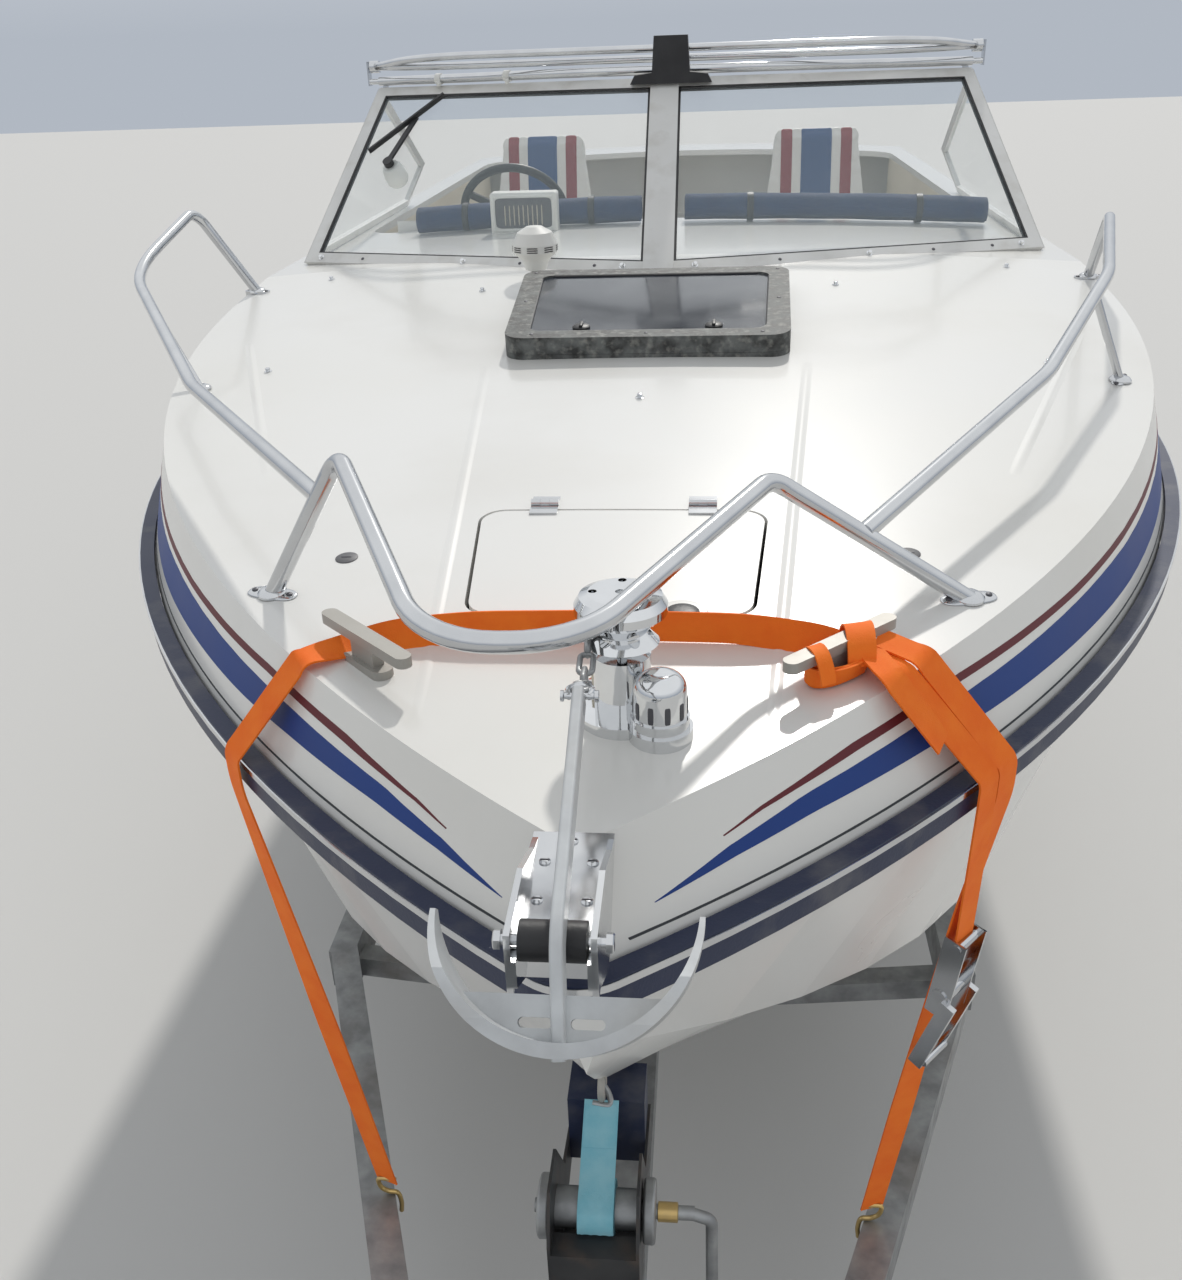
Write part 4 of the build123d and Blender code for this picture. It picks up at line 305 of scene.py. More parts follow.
class Palette:
    """Every finish on the boat and its trailer.

    The numbers after the two colours are mottle, mottle scale, grime colour, grime amount, grime scale,
    roughness and roughness swing.
    """

    GELCOAT = Finish("white gelcoat", (0.82, 0.815, 0.79), (0.77, 0.755, 0.70), 0.5, 1.3, (0.50, 0.45, 0.36), 0.16,
                     2.2, 0.24, 0.06, coat=0.35)
    HULL = Finish("hull gelcoat", (0.80, 0.80, 0.78), (0.75, 0.74, 0.70), 0.5, 1.1, (0.45, 0.42, 0.35), 0.25, 1.7,
                  0.26, 0.06, coat=0.3)
    NAVY = Finish("navy fender rubber", (0.012, 0.020, 0.060), (0.03, 0.04, 0.08), 0.6, 9.0, (0.25, 0.24, 0.22), 0.35,
                  12.0, 0.42, 0.1, relief=0.15, relief_scale=240.0)
    STAINLESS = Finish("polished stainless", (0.62, 0.63, 0.64), (0.50, 0.51, 0.53), 0.5, 14.0, roughness=0.13,
                       rough_swing=0.06, metallic=1.0)
    CHROME = Finish("chrome", (0.72, 0.73, 0.74), (0.6, 0.61, 0.62), 0.4, 20.0, roughness=0.07, rough_swing=0.04,
                    metallic=1.0)
    GALVANISED = Finish("galvanised steel", (0.36, 0.37, 0.375), (0.22, 0.225, 0.23), 0.8, 24.0, (0.16, 0.12, 0.09),
                        0.45, 7.0, 0.48, 0.12, metallic=0.85, relief=0.2, relief_scale=90.0)
    CREAM = Finish("cream lining", (0.66, 0.60, 0.48), (0.58, 0.52, 0.41), 0.5, 5.0, roughness=0.6, relief=0.2,
                   relief_scale=160.0)
    FLOOR = Finish("cockpit floor", (0.42, 0.40, 0.36), (0.34, 0.32, 0.29), 0.6, 8.0, roughness=0.85, relief=0.5,
                   relief_scale=300.0)
    FRAME = Finish("screen frame paint", (0.78, 0.78, 0.76), (0.70, 0.69, 0.66), 0.5, 7.0, (0.4, 0.37, 0.3), 0.3,
                   16.0, 0.34, 0.08)
    GLASS = Finish("windscreen pane", (0.80, 0.90, 0.92), roughness=0.03, rough_swing=0.0, ior=1.25, alpha=0.10)
    SMOKED = Finish("smoked hatch pane", (0.016, 0.022, 0.035), (0.05, 0.06, 0.075), 0.6, 7.0, (0.25, 0.27, 0.28),
                    0.22, 9.0, 0.16, 0.08, coat=0.5)
    WEATHERED = Finish("weathered hatch frame", (0.035, 0.036, 0.035), (0.16, 0.17, 0.165), 0.9, 38.0,
                       (0.42, 0.42, 0.38), 0.55, 60.0, 0.62, 0.15, relief=0.5, relief_scale=140.0)
    VINYL_WHITE = Finish("white seat vinyl", (0.78, 0.77, 0.73), (0.70, 0.69, 0.65), 0.5, 6.0, roughness=0.42,
                         relief=0.25, relief_scale=260.0)
    VINYL_BLUE = Finish("blue seat vinyl", (0.012, 0.060, 0.190), (0.02, 0.08, 0.22), 0.5, 6.0, roughness=0.4,
                        relief=0.25, relief_scale=260.0)
    VINYL_RED = Finish("dark red seat vinyl", (0.24, 0.022, 0.030), (0.30, 0.035, 0.04), 0.5, 6.0, roughness=0.4,
                       relief=0.25, relief_scale=260.0)
    LAMP_WHITE = Finish("white lamp plastic", (0.80, 0.80, 0.77), (0.72, 0.71, 0.66), 0.5, 15.0, roughness=0.35)
    BLACK = Finish("black plastic", (0.018, 0.018, 0.020), (0.04, 0.04, 0.042), 0.5, 14.0, roughness=0.45,
                   relief=0.15, relief_scale=200.0)
    ENGINE = Finish("engine paint", (0.03, 0.03, 0.035), (0.06, 0.06, 0.06), 0.5, 8.0, roughness=0.5)
    DRIVE = Finish("dark drive paint", (0.030, 0.031, 0.034), (0.05, 0.05, 0.055), 0.6, 10.0, (0.2, 0.2, 0.18), 0.3,
                   20.0, 0.38, 0.1)
    RIM = Finish("silver rim paint", (0.48, 0.49, 0.50), (0.4, 0.4, 0.41), 0.5, 12.0, (0.2, 0.14, 0.09), 0.3, 14.0,
                 0.38, 0.08, metallic=0.6)
    TYRE = Finish("tyre rubber", (0.020, 0.020, 0.021), (0.035, 0.034, 0.032), 0.6, 12.0, (0.16, 0.14, 0.11), 0.3,
                  7.0, 0.78, 0.08, relief=0.2, relief_scale=150.0)
    BLACK_STEEL = Finish("black painted steel", (0.020, 0.020, 0.022), (0.05, 0.05, 0.05), 0.6, 12.0,
                         (0.2, 0.12, 0.07), 0.35, 16.0, 0.4, 0.1)
    ORANGE = Finish("orange webbing", (1.0, 0.205, 0.010), (0.92, 0.135, 0.006), 0.6, 22.0, roughness=0.75,
                    relief=0.35, relief_scale=700.0, weave=Weave.GRAIN)
    TEAL = Finish("teal webbing", (0.22, 0.55, 0.66), (0.36, 0.66, 0.74), 0.7, 30.0, roughness=0.75, relief=0.35,
                  relief_scale=700.0, weave=Weave.GRAIN)
    ALLOY = Finish("dull cleat alloy", (0.40, 0.385, 0.355), (0.33, 0.32, 0.29), 0.5, 16.0, roughness=0.48,
                   rough_swing=0.1, metallic=0.35)
    ANCHOR = Finish("pale galvanised anchor", (0.58, 0.60, 0.61), (0.42, 0.43, 0.44), 0.7, 18.0, (0.30, 0.25, 0.18),
                    0.35, 7.0, roughness=0.45, rough_swing=0.12, metallic=0.35, relief=0.15, relief_scale=90.0)
    CARPET = Finish("bunk carpet", (0.030, 0.031, 0.034), (0.06, 0.06, 0.06), 0.6, 60.0, roughness=0.95, relief=0.9,
                    relief_scale=500.0)
    CANVAS = Finish("blue canvas", (0.005, 0.032, 0.125), (0.012, 0.055, 0.165), 0.6, 18.0, roughness=0.8, relief=0.6,
                    relief_scale=520.0, weave=Weave.CLOTH, sheen=0.3)
    STRIPE_RED = Finish("dark red stripe", (0.125, 0.012, 0.020), roughness=0.5, rough_swing=0.0)
    STRIPE_BLUE = Finish("blue stripe", (0.003, 0.038, 0.215), (0.006, 0.052, 0.26), 0.4, 5.0, roughness=0.5)
    # Painted shade: a thin dark line that stands for the shade in the groove along the gunwale band.
    GROOVE_SHADE = Finish("painted groove shade line", (0.05, 0.055, 0.06), roughness=0.6)
    BRASS = Finish("zinc yellow steel", (0.60, 0.42, 0.16), (0.45, 0.33, 0.16), 0.6, 30.0, roughness=0.3,
                   rough_swing=0.08, metallic=0.9)
    LAMP_RED = Finish("red lamp lens", (0.42, 0.012, 0.012), (0.30, 0.01, 0.01), 0.5, 40.0, roughness=0.18, coat=0.6)
    LAMP_AMBER = Finish("amber lamp lens", (0.75, 0.22, 0.01), (0.6, 0.16, 0.01), 0.5, 40.0, roughness=0.18, coat=0.6)
    FITTING = Finish("dark deck fitting", (0.10, 0.10, 0.11), (0.16, 0.16, 0.16), 0.5, 30.0, roughness=0.5)
    # Dark screw heads, and painted shade in the slots of caps, bolts and the motor's pot.
    SCREW_AND_SLOT_SHADE = Finish("dark screws and painted slot shade", (0.10, 0.10, 0.11), roughness=0.5, metallic=0.6)
    DIAL = Finish("black dial face", (0.012, 0.012, 0.014), (0.03, 0.03, 0.03), 0.4, 30.0, roughness=0.25, coat=0.6)


NODE_FINISH: dict[str, Finish] = {
    "hull": Palette.HULL, "deck": Palette.GELCOAT, "rub_rail": Palette.NAVY, "rub_strip": Palette.STAINLESS,
    "cockpit_sole": Palette.FLOOR, "side_liners": Palette.CREAM, "dash": Palette.GELCOAT,
    "cabin_door": Palette.CREAM, "windscreen_frame": Palette.FRAME, "windscreen_glass": Palette.GLASS,
    "top_rail": Palette.STAINLESS, "hood_bows": Palette.STAINLESS, "hatch_base": Palette.WEATHERED,
    "hatch_frame": Palette.WEATHERED, "hatch_pane": Palette.SMOKED, "locker_lid": Palette.GELCOAT,
    "anchor_locker": Palette.GELCOAT, "pulpit": Palette.STAINLESS, "cleats": Palette.ALLOY,
    "windlass": Palette.CHROME, "windlass_drum": Palette.CHROME, "bow_fitting": Palette.STAINLESS,
    "bow_roller": Palette.BLACK, "anchor": Palette.ANCHOR, "deck_light": Palette.LAMP_WHITE,
    "steering_wheel": Palette.BLACK, "seats": Palette.VINYL_WHITE, "seat_bases": Palette.GELCOAT,
    "bench_cushions": Palette.VINYL_WHITE, "engine_cover": Palette.GELCOAT, "engine": Palette.ENGINE,
    "transom_shield": Palette.DRIVE, "drive_yoke": Palette.DRIVE, "drive_leg": Palette.DRIVE,
    "propeller": Palette.DRIVE, "trailer_frame": Palette.GALVANISED, "axle": Palette.GALVANISED,
    "rim_starboard": Palette.RIM, "rim_port": Palette.RIM, "tyre_starboard": Palette.TYRE,
    "tyre_port": Palette.TYRE, "mudguards": Palette.GALVANISED, "bunks": Palette.CARPET,
    "keel_rollers": Palette.NAVY, "winch_post": Palette.BLACK_STEEL, "bow_stop": Palette.NAVY,
    "winch": Palette.GALVANISED, "coupling": Palette.GALVANISED, "jack": Palette.GALVANISED,
    "jack_leg": Palette.GALVANISED, "tie_down_straps": Palette.ORANGE, "winch_strap": Palette.TEAL,
    "screen_cap": Palette.BLACK, "wiper": Palette.BLACK, "fixed_hinges": Palette.STAINLESS,
    "locker_hinges": Palette.STAINLESS, "hatch_hinges": Palette.STAINLESS, "canvas_rolls": Palette.CANVAS,
    "instrument_box": Palette.LAMP_WHITE, "strap_ratchet": Palette.STAINLESS,
}


def dress(obj: bpy.types.Object, material: bpy.types.Material) -> None:
    """Gives an object one material."""
    obj.data.materials.clear()
    obj.data.materials.append(material)


def smooth(mesh: bpy.types.Mesh) -> None:
    """Shades every face smooth."""
    mesh.polygons.foreach_set("use_smooth", np.ones(len(mesh.polygons), bool))


def quads(nu: int, nv: int, start: int = 0, wrap: bool = False) -> Array:
    """Faces between neighbours of a grid of vertices.

    Args:
        nu: rows.
        nv: columns.
        start: number of its first vertex.
        wrap: joins the last column to the first.

    Returns:
        Array of shape (faces, 4).
    """
    index = start + np.arange(nu * nv).reshape(nu, nv)
    if wrap:
        index = np.concatenate([index, index[:, :1]], 1)
    corners = [index[:-1, :-1], index[1:, :-1], index[1:, 1:], index[:-1, 1:]]
    return np.stack(corners, -1).reshape(-1, 4)


def mesh_from_arrays(name: str, verts: Array, faces: Array) -> bpy.types.Object:
    """Makes an object from whole arrays.

    Args:
        name: the piece's name.
        verts: vertices in the row's frame, shape (count, 3).
        faces: vertex numbers, shape (faces, corners).

    Returns:
        The new object, shaded smooth.
    """
    mesh = bpy.data.meshes.new(name)
    mesh.vertices.add(len(verts))
    mesh.vertices.foreach_set("co", verts.astype(np.float32).ravel())
    mesh.loops.add(faces.size)
    mesh.loops.foreach_set("vertex_index", faces.astype(np.int32).ravel())
    mesh.polygons.add(len(faces))
    mesh.polygons.foreach_set("loop_start", np.arange(0, faces.size, faces.shape[1], dtype=np.int32))
    mesh.update(calc_edges=True)
    mesh.validate()
    smooth(mesh)
    obj = bpy.data.objects.new(name, mesh)
    bpy.context.scene.collection.objects.link(obj)
    return obj


def unit(v: Array) -> Array:
    """Vectors brought to length one along the last axis."""
    return v / np.maximum(np.linalg.norm(v, axis=-1, keepdims=True), 1e-12)


def curve_through(points: Sequence[Sequence[float]], count: int) -> Array:
    """A smooth line through given points.

    Each coordinate is a cubic between neighbours whose end slopes are half the chord over both
    neighbours, and the stations are spread by chord length.

    Args:
        points: the points it passes, in boat coordinates.
        count: how many stations are worked out.

    Returns:
        Array of shape (count, width of a point).
    """
    p = np.asarray(points, float)
    place = np.concatenate([[0.0], np.cumsum(np.linalg.norm(np.diff(p[:, :3], axis=0), axis=1))])
    slope = np.gradient(p, place, axis=0)
    t = np.linspace(0.0, place[-1], count)
    i = np.clip(np.searchsorted(place, t, side="right") - 1, 0, len(p) - 2)
    h = (place[i + 1] - place[i])[:, None]
    u = ((t - place[i]) / h[:, 0])[:, None]
    return ((2 * u ** 3 - 3 * u ** 2 + 1) * p[i] + (u ** 3 - 2 * u ** 2 + u) * h * slope[i]
            + (3 * u ** 2 - 2 * u ** 3) * p[i + 1] + (u ** 3 - u ** 2) * h * slope[i + 1])


def bent_route(points: Sequence[Sequence[float]], radii: Sequence[float], step: float = 0.006) -> Array:
    """Straight runs joined by short bends.

    At each inner point the route is cut back by its radius on both sides, and a parabola through those
    two ends, drawn towards the point, joins the runs.

    Args:
        points: corners of the route; columns past the third are carried along.
        radii: cut-back at each inner point.
        step: distance between stations.

    Returns:
        The stations.
    """
    p = np.asarray(points, float)
    out, start = [], p[0]
    for corner, after, r in zip(p[1:-1], p[2:], radii):
        reach = [corner + (q - corner) * min(r / np.linalg.norm((q - corner)[:3]), 0.48) for q in (start, after)]
        n = max(int(np.linalg.norm((reach[0] - start)[:3]) / step), 2)
        t = np.linspace(0, 1, n, endpoint=False)[:, None]
        out.append(start * (1 - t) + reach[0] * t)
        t = np.linspace(0, 1, 9, endpoint=False)[:, None]
        out.append(reach[0] * (1 - t) ** 2 + 2 * corner * t * (1 - t) + reach[1] * t ** 2)
        start = reach[1]
    n = max(int(np.linalg.norm((p[-1] - start)[:3]) / step), 2)
    t = np.linspace(0, 1, n)[:, None]
    out.append(start * (1 - t) + p[-1] * t)
    return np.concatenate(out)


def straight(a: Array, b: Array, count: int) -> Array:
    """Stations on the straight line from a to b."""
    t = np.linspace(0, 1, count)[:, None]
    return a * (1 - t) + b * t


def capped(rows: Array) -> Array:
    """Closes a grid's open ends.

    Args:
        rows: grid whose columns wrap.

    Returns:
        The grid with a row of points at the middle of its first row, and one at the middle of its last.
    """
    first = np.broadcast_to(rows[0].mean(0), rows[0].shape)
    last = np.broadcast_to(rows[-1].mean(0), rows[-1].shape)
    return np.concatenate([first[None], rows, last[None]])


def carried(path: Array, across: Array, section: Array) -> Array:
    """A profile carried along a path.

    A point is the path's point plus the profile's first number along the width direction, squared to
    the path, and its second along their cross product.

    Args:
        path: stations, shape (n, 3).
        across: the width direction, one for all or one for each station.
        section: profile points, shape (m, 2).

    Returns:
        Closed grid of shape (n + 2, m, 3).
    """
    along = unit(np.gradient(path, axis=0))
    wide = np.broadcast_to(np.asarray(across, float), path.shape)
    wide = unit(wide - along * np.sum(wide * along, -1, keepdims=True))
    up = np.cross(along, wide)
    rows = path[:, None] + section[None, :, :1] * wide[:, None] + section[None, :, 1:] * up[:, None]
    return capped(rows)


def round_section(r: float, count: int = 10) -> Array:
    """Points of a circle: cosine and sine of equal angles."""
    a = np.linspace(0, 2 * np.pi, count, endpoint=False)
    return np.stack([r * np.cos(a), r * np.sin(a)], -1)


def flat_section(w: float, t: float, count: int = 7) -> Array:
    """Webbing's profile: a thin oblong, a little thicker at the selvedges.

    Args:
        w: its width.
        t: its thickness.
        count: points along each long side.

    Returns:
        Points round the profile.
    """
    u = np.linspace(-1, 1, count)
    thick = t / 2 * (0.75 + 0.25 * u ** 8)
    return np.concatenate([np.stack([u * w / 2, thick], -1), np.stack([-u * w / 2, -thick[::-1]], -1)])


def turned(profile: Profile, centre: Sequence[float], axis: Sequence[float] = (0, 0, 1), count: int = 24) -> Array:
    """A profile of radius and height turned about an axis.

    Args:
        profile: pairs of radius and height along the axis.
        centre: where height is nought.
        axis: direction of the axis.
        count: points round the axis.

    Returns:
        Closed grid of shape (pairs + 2, count, 3).
    """
    k = unit(np.asarray(axis, float))
    side = unit(np.cross(k, (0.0, 1.0, 0.0) if abs(k[1]) < 0.9 else (1.0, 0.0, 0.0)))
    other = np.cross(k, side)
    a = np.linspace(0, 2 * np.pi, count, endpoint=False)[None, :, None]
    r, h = (np.asarray(profile, float)[:, i][:, None, None] for i in (0, 1))
    return capped(np.asarray(centre, float) + r * (np.cos(a) * side + np.sin(a) * other) + h * k)


def pill(centre: Sequence[float], size: Sequence[float], axes: Optional[Array] = None, square: float = 0.35,
         count: int = 16) -> Array:
    """A rounded block: powers of cosine and sine below one square up an ellipsoid.

    Args:
        centre: its middle.
        size: half-sizes along its three axes.
        axes: three unit vectors, rows; the boat's own if left out.
        square: 1 is an ellipsoid, near 0 a brick.
        count: points round it.

    Returns:
        Grid of shape (count // 2 + 1, count, 3).
    """
    v = np.linspace(-np.pi / 2, np.pi / 2, count // 2 + 1)[:, None]
    u = np.linspace(0, 2 * np.pi, count, endpoint=False)[None]
    cv, sv, cu, su = (np.sign(w) * np.abs(w) ** square for w in (np.cos(v), np.sin(v), np.cos(u), np.sin(u)))
    local = np.stack([cv * cu * size[0], cv * su * size[1], sv * np.ones_like(u) * size[2]], -1)
    return np.asarray(centre, float) + local @ (np.eye(3) if axes is None else np.asarray(axes, float))


def shell(name: str, grids: Sequence[Array], finish: Finish, body: str = ROOT,
          sharp: float = 35.0) -> bpy.types.Object:
    """One object from closed grids whose columns wrap.

    Args:
        name: the piece's name.
        grids: each of shape (rows, columns, 3) in boat coordinates.
        finish: its finish.
        body: the body it rides on.
        sharp: angle in degrees over which an edge stays crisp.

    Returns:
        The object, with its poles merged and faces outwards.
    """
    verts, faces, start = [], [], 0
    for grid in grids:
        nu, nv = grid.shape[:2]
        faces.append(quads(nu, nv, start, wrap=True))
        verts.append(row(grid).reshape(-1, 3))
        start += nu * nv
    obj = mesh_from_arrays(name, np.concatenate(verts), np.concatenate(faces))
    work = bmesh.new()
    work.from_mesh(obj.data)
    bmesh.ops.remove_doubles(work, verts=work.verts, dist=2e-6)
    bmesh.ops.recalc_face_normals(work, faces=work.faces)
    work.to_mesh(obj.data)
    work.free()
    smooth(obj.data)
    obj.data.set_sharp_from_angle(angle=math.radians(sharp))
    dress(obj, finish.build())
    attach(obj, body)
    LOG.info("%s: %d faces", name, len(obj.data.polygons))
    return obj


def mirrored(grid: Array) -> Array:
    """The same grid on the other side of the boat."""
    return grid * FLIP


def on_deck(x: float, y: float, lift: float = 0.0) -> Array:
    """The point over a place on the deck, lifted straight up."""
    return np.array([x, y, float(FORM.deck_at(x, y)) + lift])


def deck_frame(x: float, y: float, lift: float = 0.0, heading: float = 0.0) -> tuple[Array, Array]:
    """A place on the deck and its axes.

    Args:
        x: distance to port.
        y: distance aft.
        lift: height above the deck, along its normal.
        heading: turn of the first axis, in degrees.

    Returns:
        The point, and three unit vectors: first axis, second axis, the deck's normal.
    """
    slope_x = -x / math.sqrt(FORM.crown_r ** 2 - x * x)
    rise = FORM.deck_rise if y < FORM.level_y else 0.0
    normal = unit(np.array([-slope_x, -rise, 1.0]))
    a = math.radians(heading)
    first = np.array([math.cos(a), math.sin(a), 0.0])
    first = unit(first - normal * (first @ normal))
    return on_deck(x, y) + normal * lift, np.stack([first, np.cross(normal, first), normal])


@dataclass
class GunwaleStripes:
    """The painted lines along the gunwale band, and a thin dark line of painted shade where a groove runs, as thin
    films that follow it.

    The stripes are given as distances aft, each with a share of the band's height.
    """

    aft: float = 5.885
    film: float = 0.0008
    red_width: float = 0.011
    red_tip: float = 0.16
    red_blunt: float = 0.12
    blue_blunt: float = 0.002
    groove_shade_start: float = 0.12
    groove_shade_from: float = 0.0225
    groove_shade_to: float = 0.0252
    red: Profile = ((0.222, 0.60), (0.26, 0.66), (0.30, 0.69), (0.37, 0.735), (0.52, 0.755), (0.64, 0.72),
                    (0.80, 0.685), (1.0, 0.665), (5.885, 0.665))
    blue: Profile = ((0.15, 0.36), (0.22, 0.46), (0.30, 0.515), (0.45, 0.51), (0.60, 0.475), (1.0, 0.41),
                     (5.885, 0.41))
    blue_half: Profile = ((0.15, 0.0), (0.22, 0.045), (0.30, 0.077), (0.55, 0.125), (0.90, 0.155), (5.885, 0.16))

    def stations(self, start: float) -> Array:
        """Distances aft from a stripe's tip, close together round the bow."""
        return np.concatenate([np.linspace(start, 1.0, 60), np.linspace(1.05, self.aft, 80)])

    def height(self, y: Array) -> Array:
        """The band's height at the given distances aft."""
        return FORM.band(y, np.ones_like(y))[:, 2] - FORM.rub_z(y)

    def line(self, name: str, finish: Finish, y: Array, low: Array, high: Array) -> None:
        """Builds one line on both sides, between two heights on the band.

        Args:
            name: the piece's name.
            finish: its finish.
            y: distances aft.
            low: lower edge as a share of the band.
            high: upper edge as a share of the band.
        """
        rows = [(low, -self.film), (low, self.film), ((low + high) / 2, self.film), (high, self.film),
                (high, -self.film)]
        grid = capped(np.stack([FORM.band(y, share, proud) for share, proud in rows], 1))
        shell(name, [grid, mirrored(grid)], finish)

    def build(self) -> None:
        """Red and blue stripes with pointed tips, and the thin dark line of painted groove shade over the fender."""
        y = self.stations(self.red[0][0])
        centre = np.interp(y, *np.array(self.red).T)
        half = (self.red_width / 2 / self.height(y)
                * np.clip((y - y[0]) / self.red_tip + self.red_blunt, 0, 1))
        self.line("red_stripe", Palette.STRIPE_RED, y, centre - half, centre + half)
        y = self.stations(self.blue[0][0])
        centre = np.interp(y, *np.array(self.blue).T)
        half = np.interp(y, *np.array(self.blue_half).T) + self.blue_blunt
        self.line("blue_stripe", Palette.STRIPE_BLUE, y, centre - half, centre + half)
        # Painted shade: the thin dark line over the fender stands for the shade in a groove.
        y = np.linspace(self.groove_shade_start, self.aft, 140)
        high = self.height(y)
        self.line("band_groove_shade", Palette.GROOVE_SHADE, y, self.groove_shade_from / high, self.groove_shade_to / high)


@dataclass
class DeckTrim:
    """Snap studs, moulded creases, caps with painted shade in their slots, and rail foot plates with their screws on
    the foredeck.

    Profiles are pairs of radius and height.
    """

    studs: Profile = ((0.432, 2.160), (0.875, 2.363), (0.813, 1.634))
    centre_stud: tuple[float, float] = (0.0, 1.399)
    stud_profile: Profile = ((0.0085, -0.001), (0.0085, 0.0012), (0.0050, 0.0020), (0.0042, 0.0045),
                             (0.0056, 0.0062), (0.0050, 0.0082), (0.0020, 0.0090))
    creases: tuple[Profile, ...] = (((0.210, 0.340), (0.330, 1.60)), ((0.630, 1.070), (0.930, 1.850)))
    crease_half: float = 0.011
    crease_rise: float = 0.0022
    crease_across: tuple[float, float] = (0.97, -0.22)
    caps: Profile = ((-0.405, 0.759), (0.423, 0.780))
    cap_profile: Profile = ((0.0170, -0.001), (0.0170, 0.0010), (0.0155, 0.0018), (0.0, 0.0020))
    cap_slot: tuple[float, float, float] = (0.0085, 0.0014, 0.0010)
    rail_feet: tuple[tuple[float, float, float], ...] = ((0.486, 0.654, 16.0), (0.930, 1.546, 60.0),
                                                         (1.060, 2.300, 20.0))
    plate: tuple[float, float, float] = (0.040, 0.0165, 0.0030)
    collar: Profile = ((0.0215, 0.0), (0.0210, 0.0030), (0.0175, 0.0065), (0.0135, 0.0085))
    screw_reach: float = 0.029
    screw: Profile = ((0.0048, -0.001), (0.0044, 0.0008), (0.0026, 0.0018), (0.0, 0.0019))

    def crease(self, ends: Profile) -> Array:
        """A low moulded bead that dies away at both ends.

        Its height follows a sine along it, to the power of a half, and a squared cosine across it.

        Args:
            ends: its two ends, to port and aft.

        Returns:
            Closed grid, sunk a little into the deck.
        """
        t = np.linspace(0, 1, 60)
        x, y = (a + (b - a) * t for a, b in zip(*ends))
        across = np.linspace(-self.crease_half, self.crease_half, 7)
        rise = np.outer(self.crease_rise * np.sin(np.pi * t) ** 0.5,
                        np.cos(across / self.crease_half * np.pi / 2) ** 2)
        px, py = (v[:, None] + across[None] * way for v, way in zip((x, y), self.crease_across))
        deck = FORM.deck_at(px, py)
        upper = np.stack([px, py, deck + rise - 0.0002], -1)
        lower = np.stack([px, py, deck - 0.003], -1)[:, ::-1]
        return capped(np.concatenate([upper, lower], 1))

    def rail_foot(self, x: float, y: float, heading: float) -> tuple[list[Array], list[Array]]:
        """A rail's foot plate with its collar, and its two screws.

        Args:
            x: distance to port.
            y: distance aft.
            heading: turn of the plate, in degrees.

        Returns:
            Grids of the plate, and grids of the screws.
        """
        point, axes = deck_frame(x, y, 0.0012, heading)
        lobe = 1.0 if y < 1 else 0.8
        length, width, height = self.plate
        plates = [pill(point, (length * lobe, width * lobe, height), axes, 0.75, 24),
                  turned(self.collar, point, axes[2], 24)]
        screws = []
        for off in (-self.screw_reach, self.screw_reach):
            point, normal = deck_frame(x + axes[0][0] * off, y + axes[0][1] * off, 0.0042)
            screws.append(turned(self.screw, point, normal[2], 12))
        return plates, screws

    def build(self) -> None:
        """Builds every small fitting on the foredeck."""
        places = [(side * x, y) for x, y in self.studs for side in (-1, 1)] + [self.centre_stud]
        frames = [deck_frame(x, y) for x, y in places]
        shell("deck_snap_studs", [turned(self.stud_profile, point, axes[2], 16) for point, axes in frames],
              Palette.CHROME)
        beads = [self.crease(ends) for ends in self.creases]
        shell("deck_creases", beads + [mirrored(bead) for bead in beads], Palette.GELCOAT,
              sharp=60)
        frames = [deck_frame(x, y) for x, y in self.caps]
        shell("deck_caps", [turned(self.cap_profile, point, axes[2], 26) for point, axes in frames],
              Palette.FITTING)
        # Painted shade: dark bars in the caps' slots.
        shell("deck_cap_slot_shade", [pill(point + axes[2] * 0.0018, self.cap_slot, axes, 0.5)
                                 for point, axes in frames], Palette.SCREW_AND_SLOT_SHADE)
        feet = [self.rail_foot(side * x, y, side * heading) for x, y, heading in self.rail_feet for side in (-1, 1)]
        shell("rail_foot_plates", sum((plates for plates, _ in feet), []), Palette.STAINLESS)
        shell("rail_foot_screws", sum((screws for _, screws in feet), []), Palette.SCREW_AND_SLOT_SHADE)


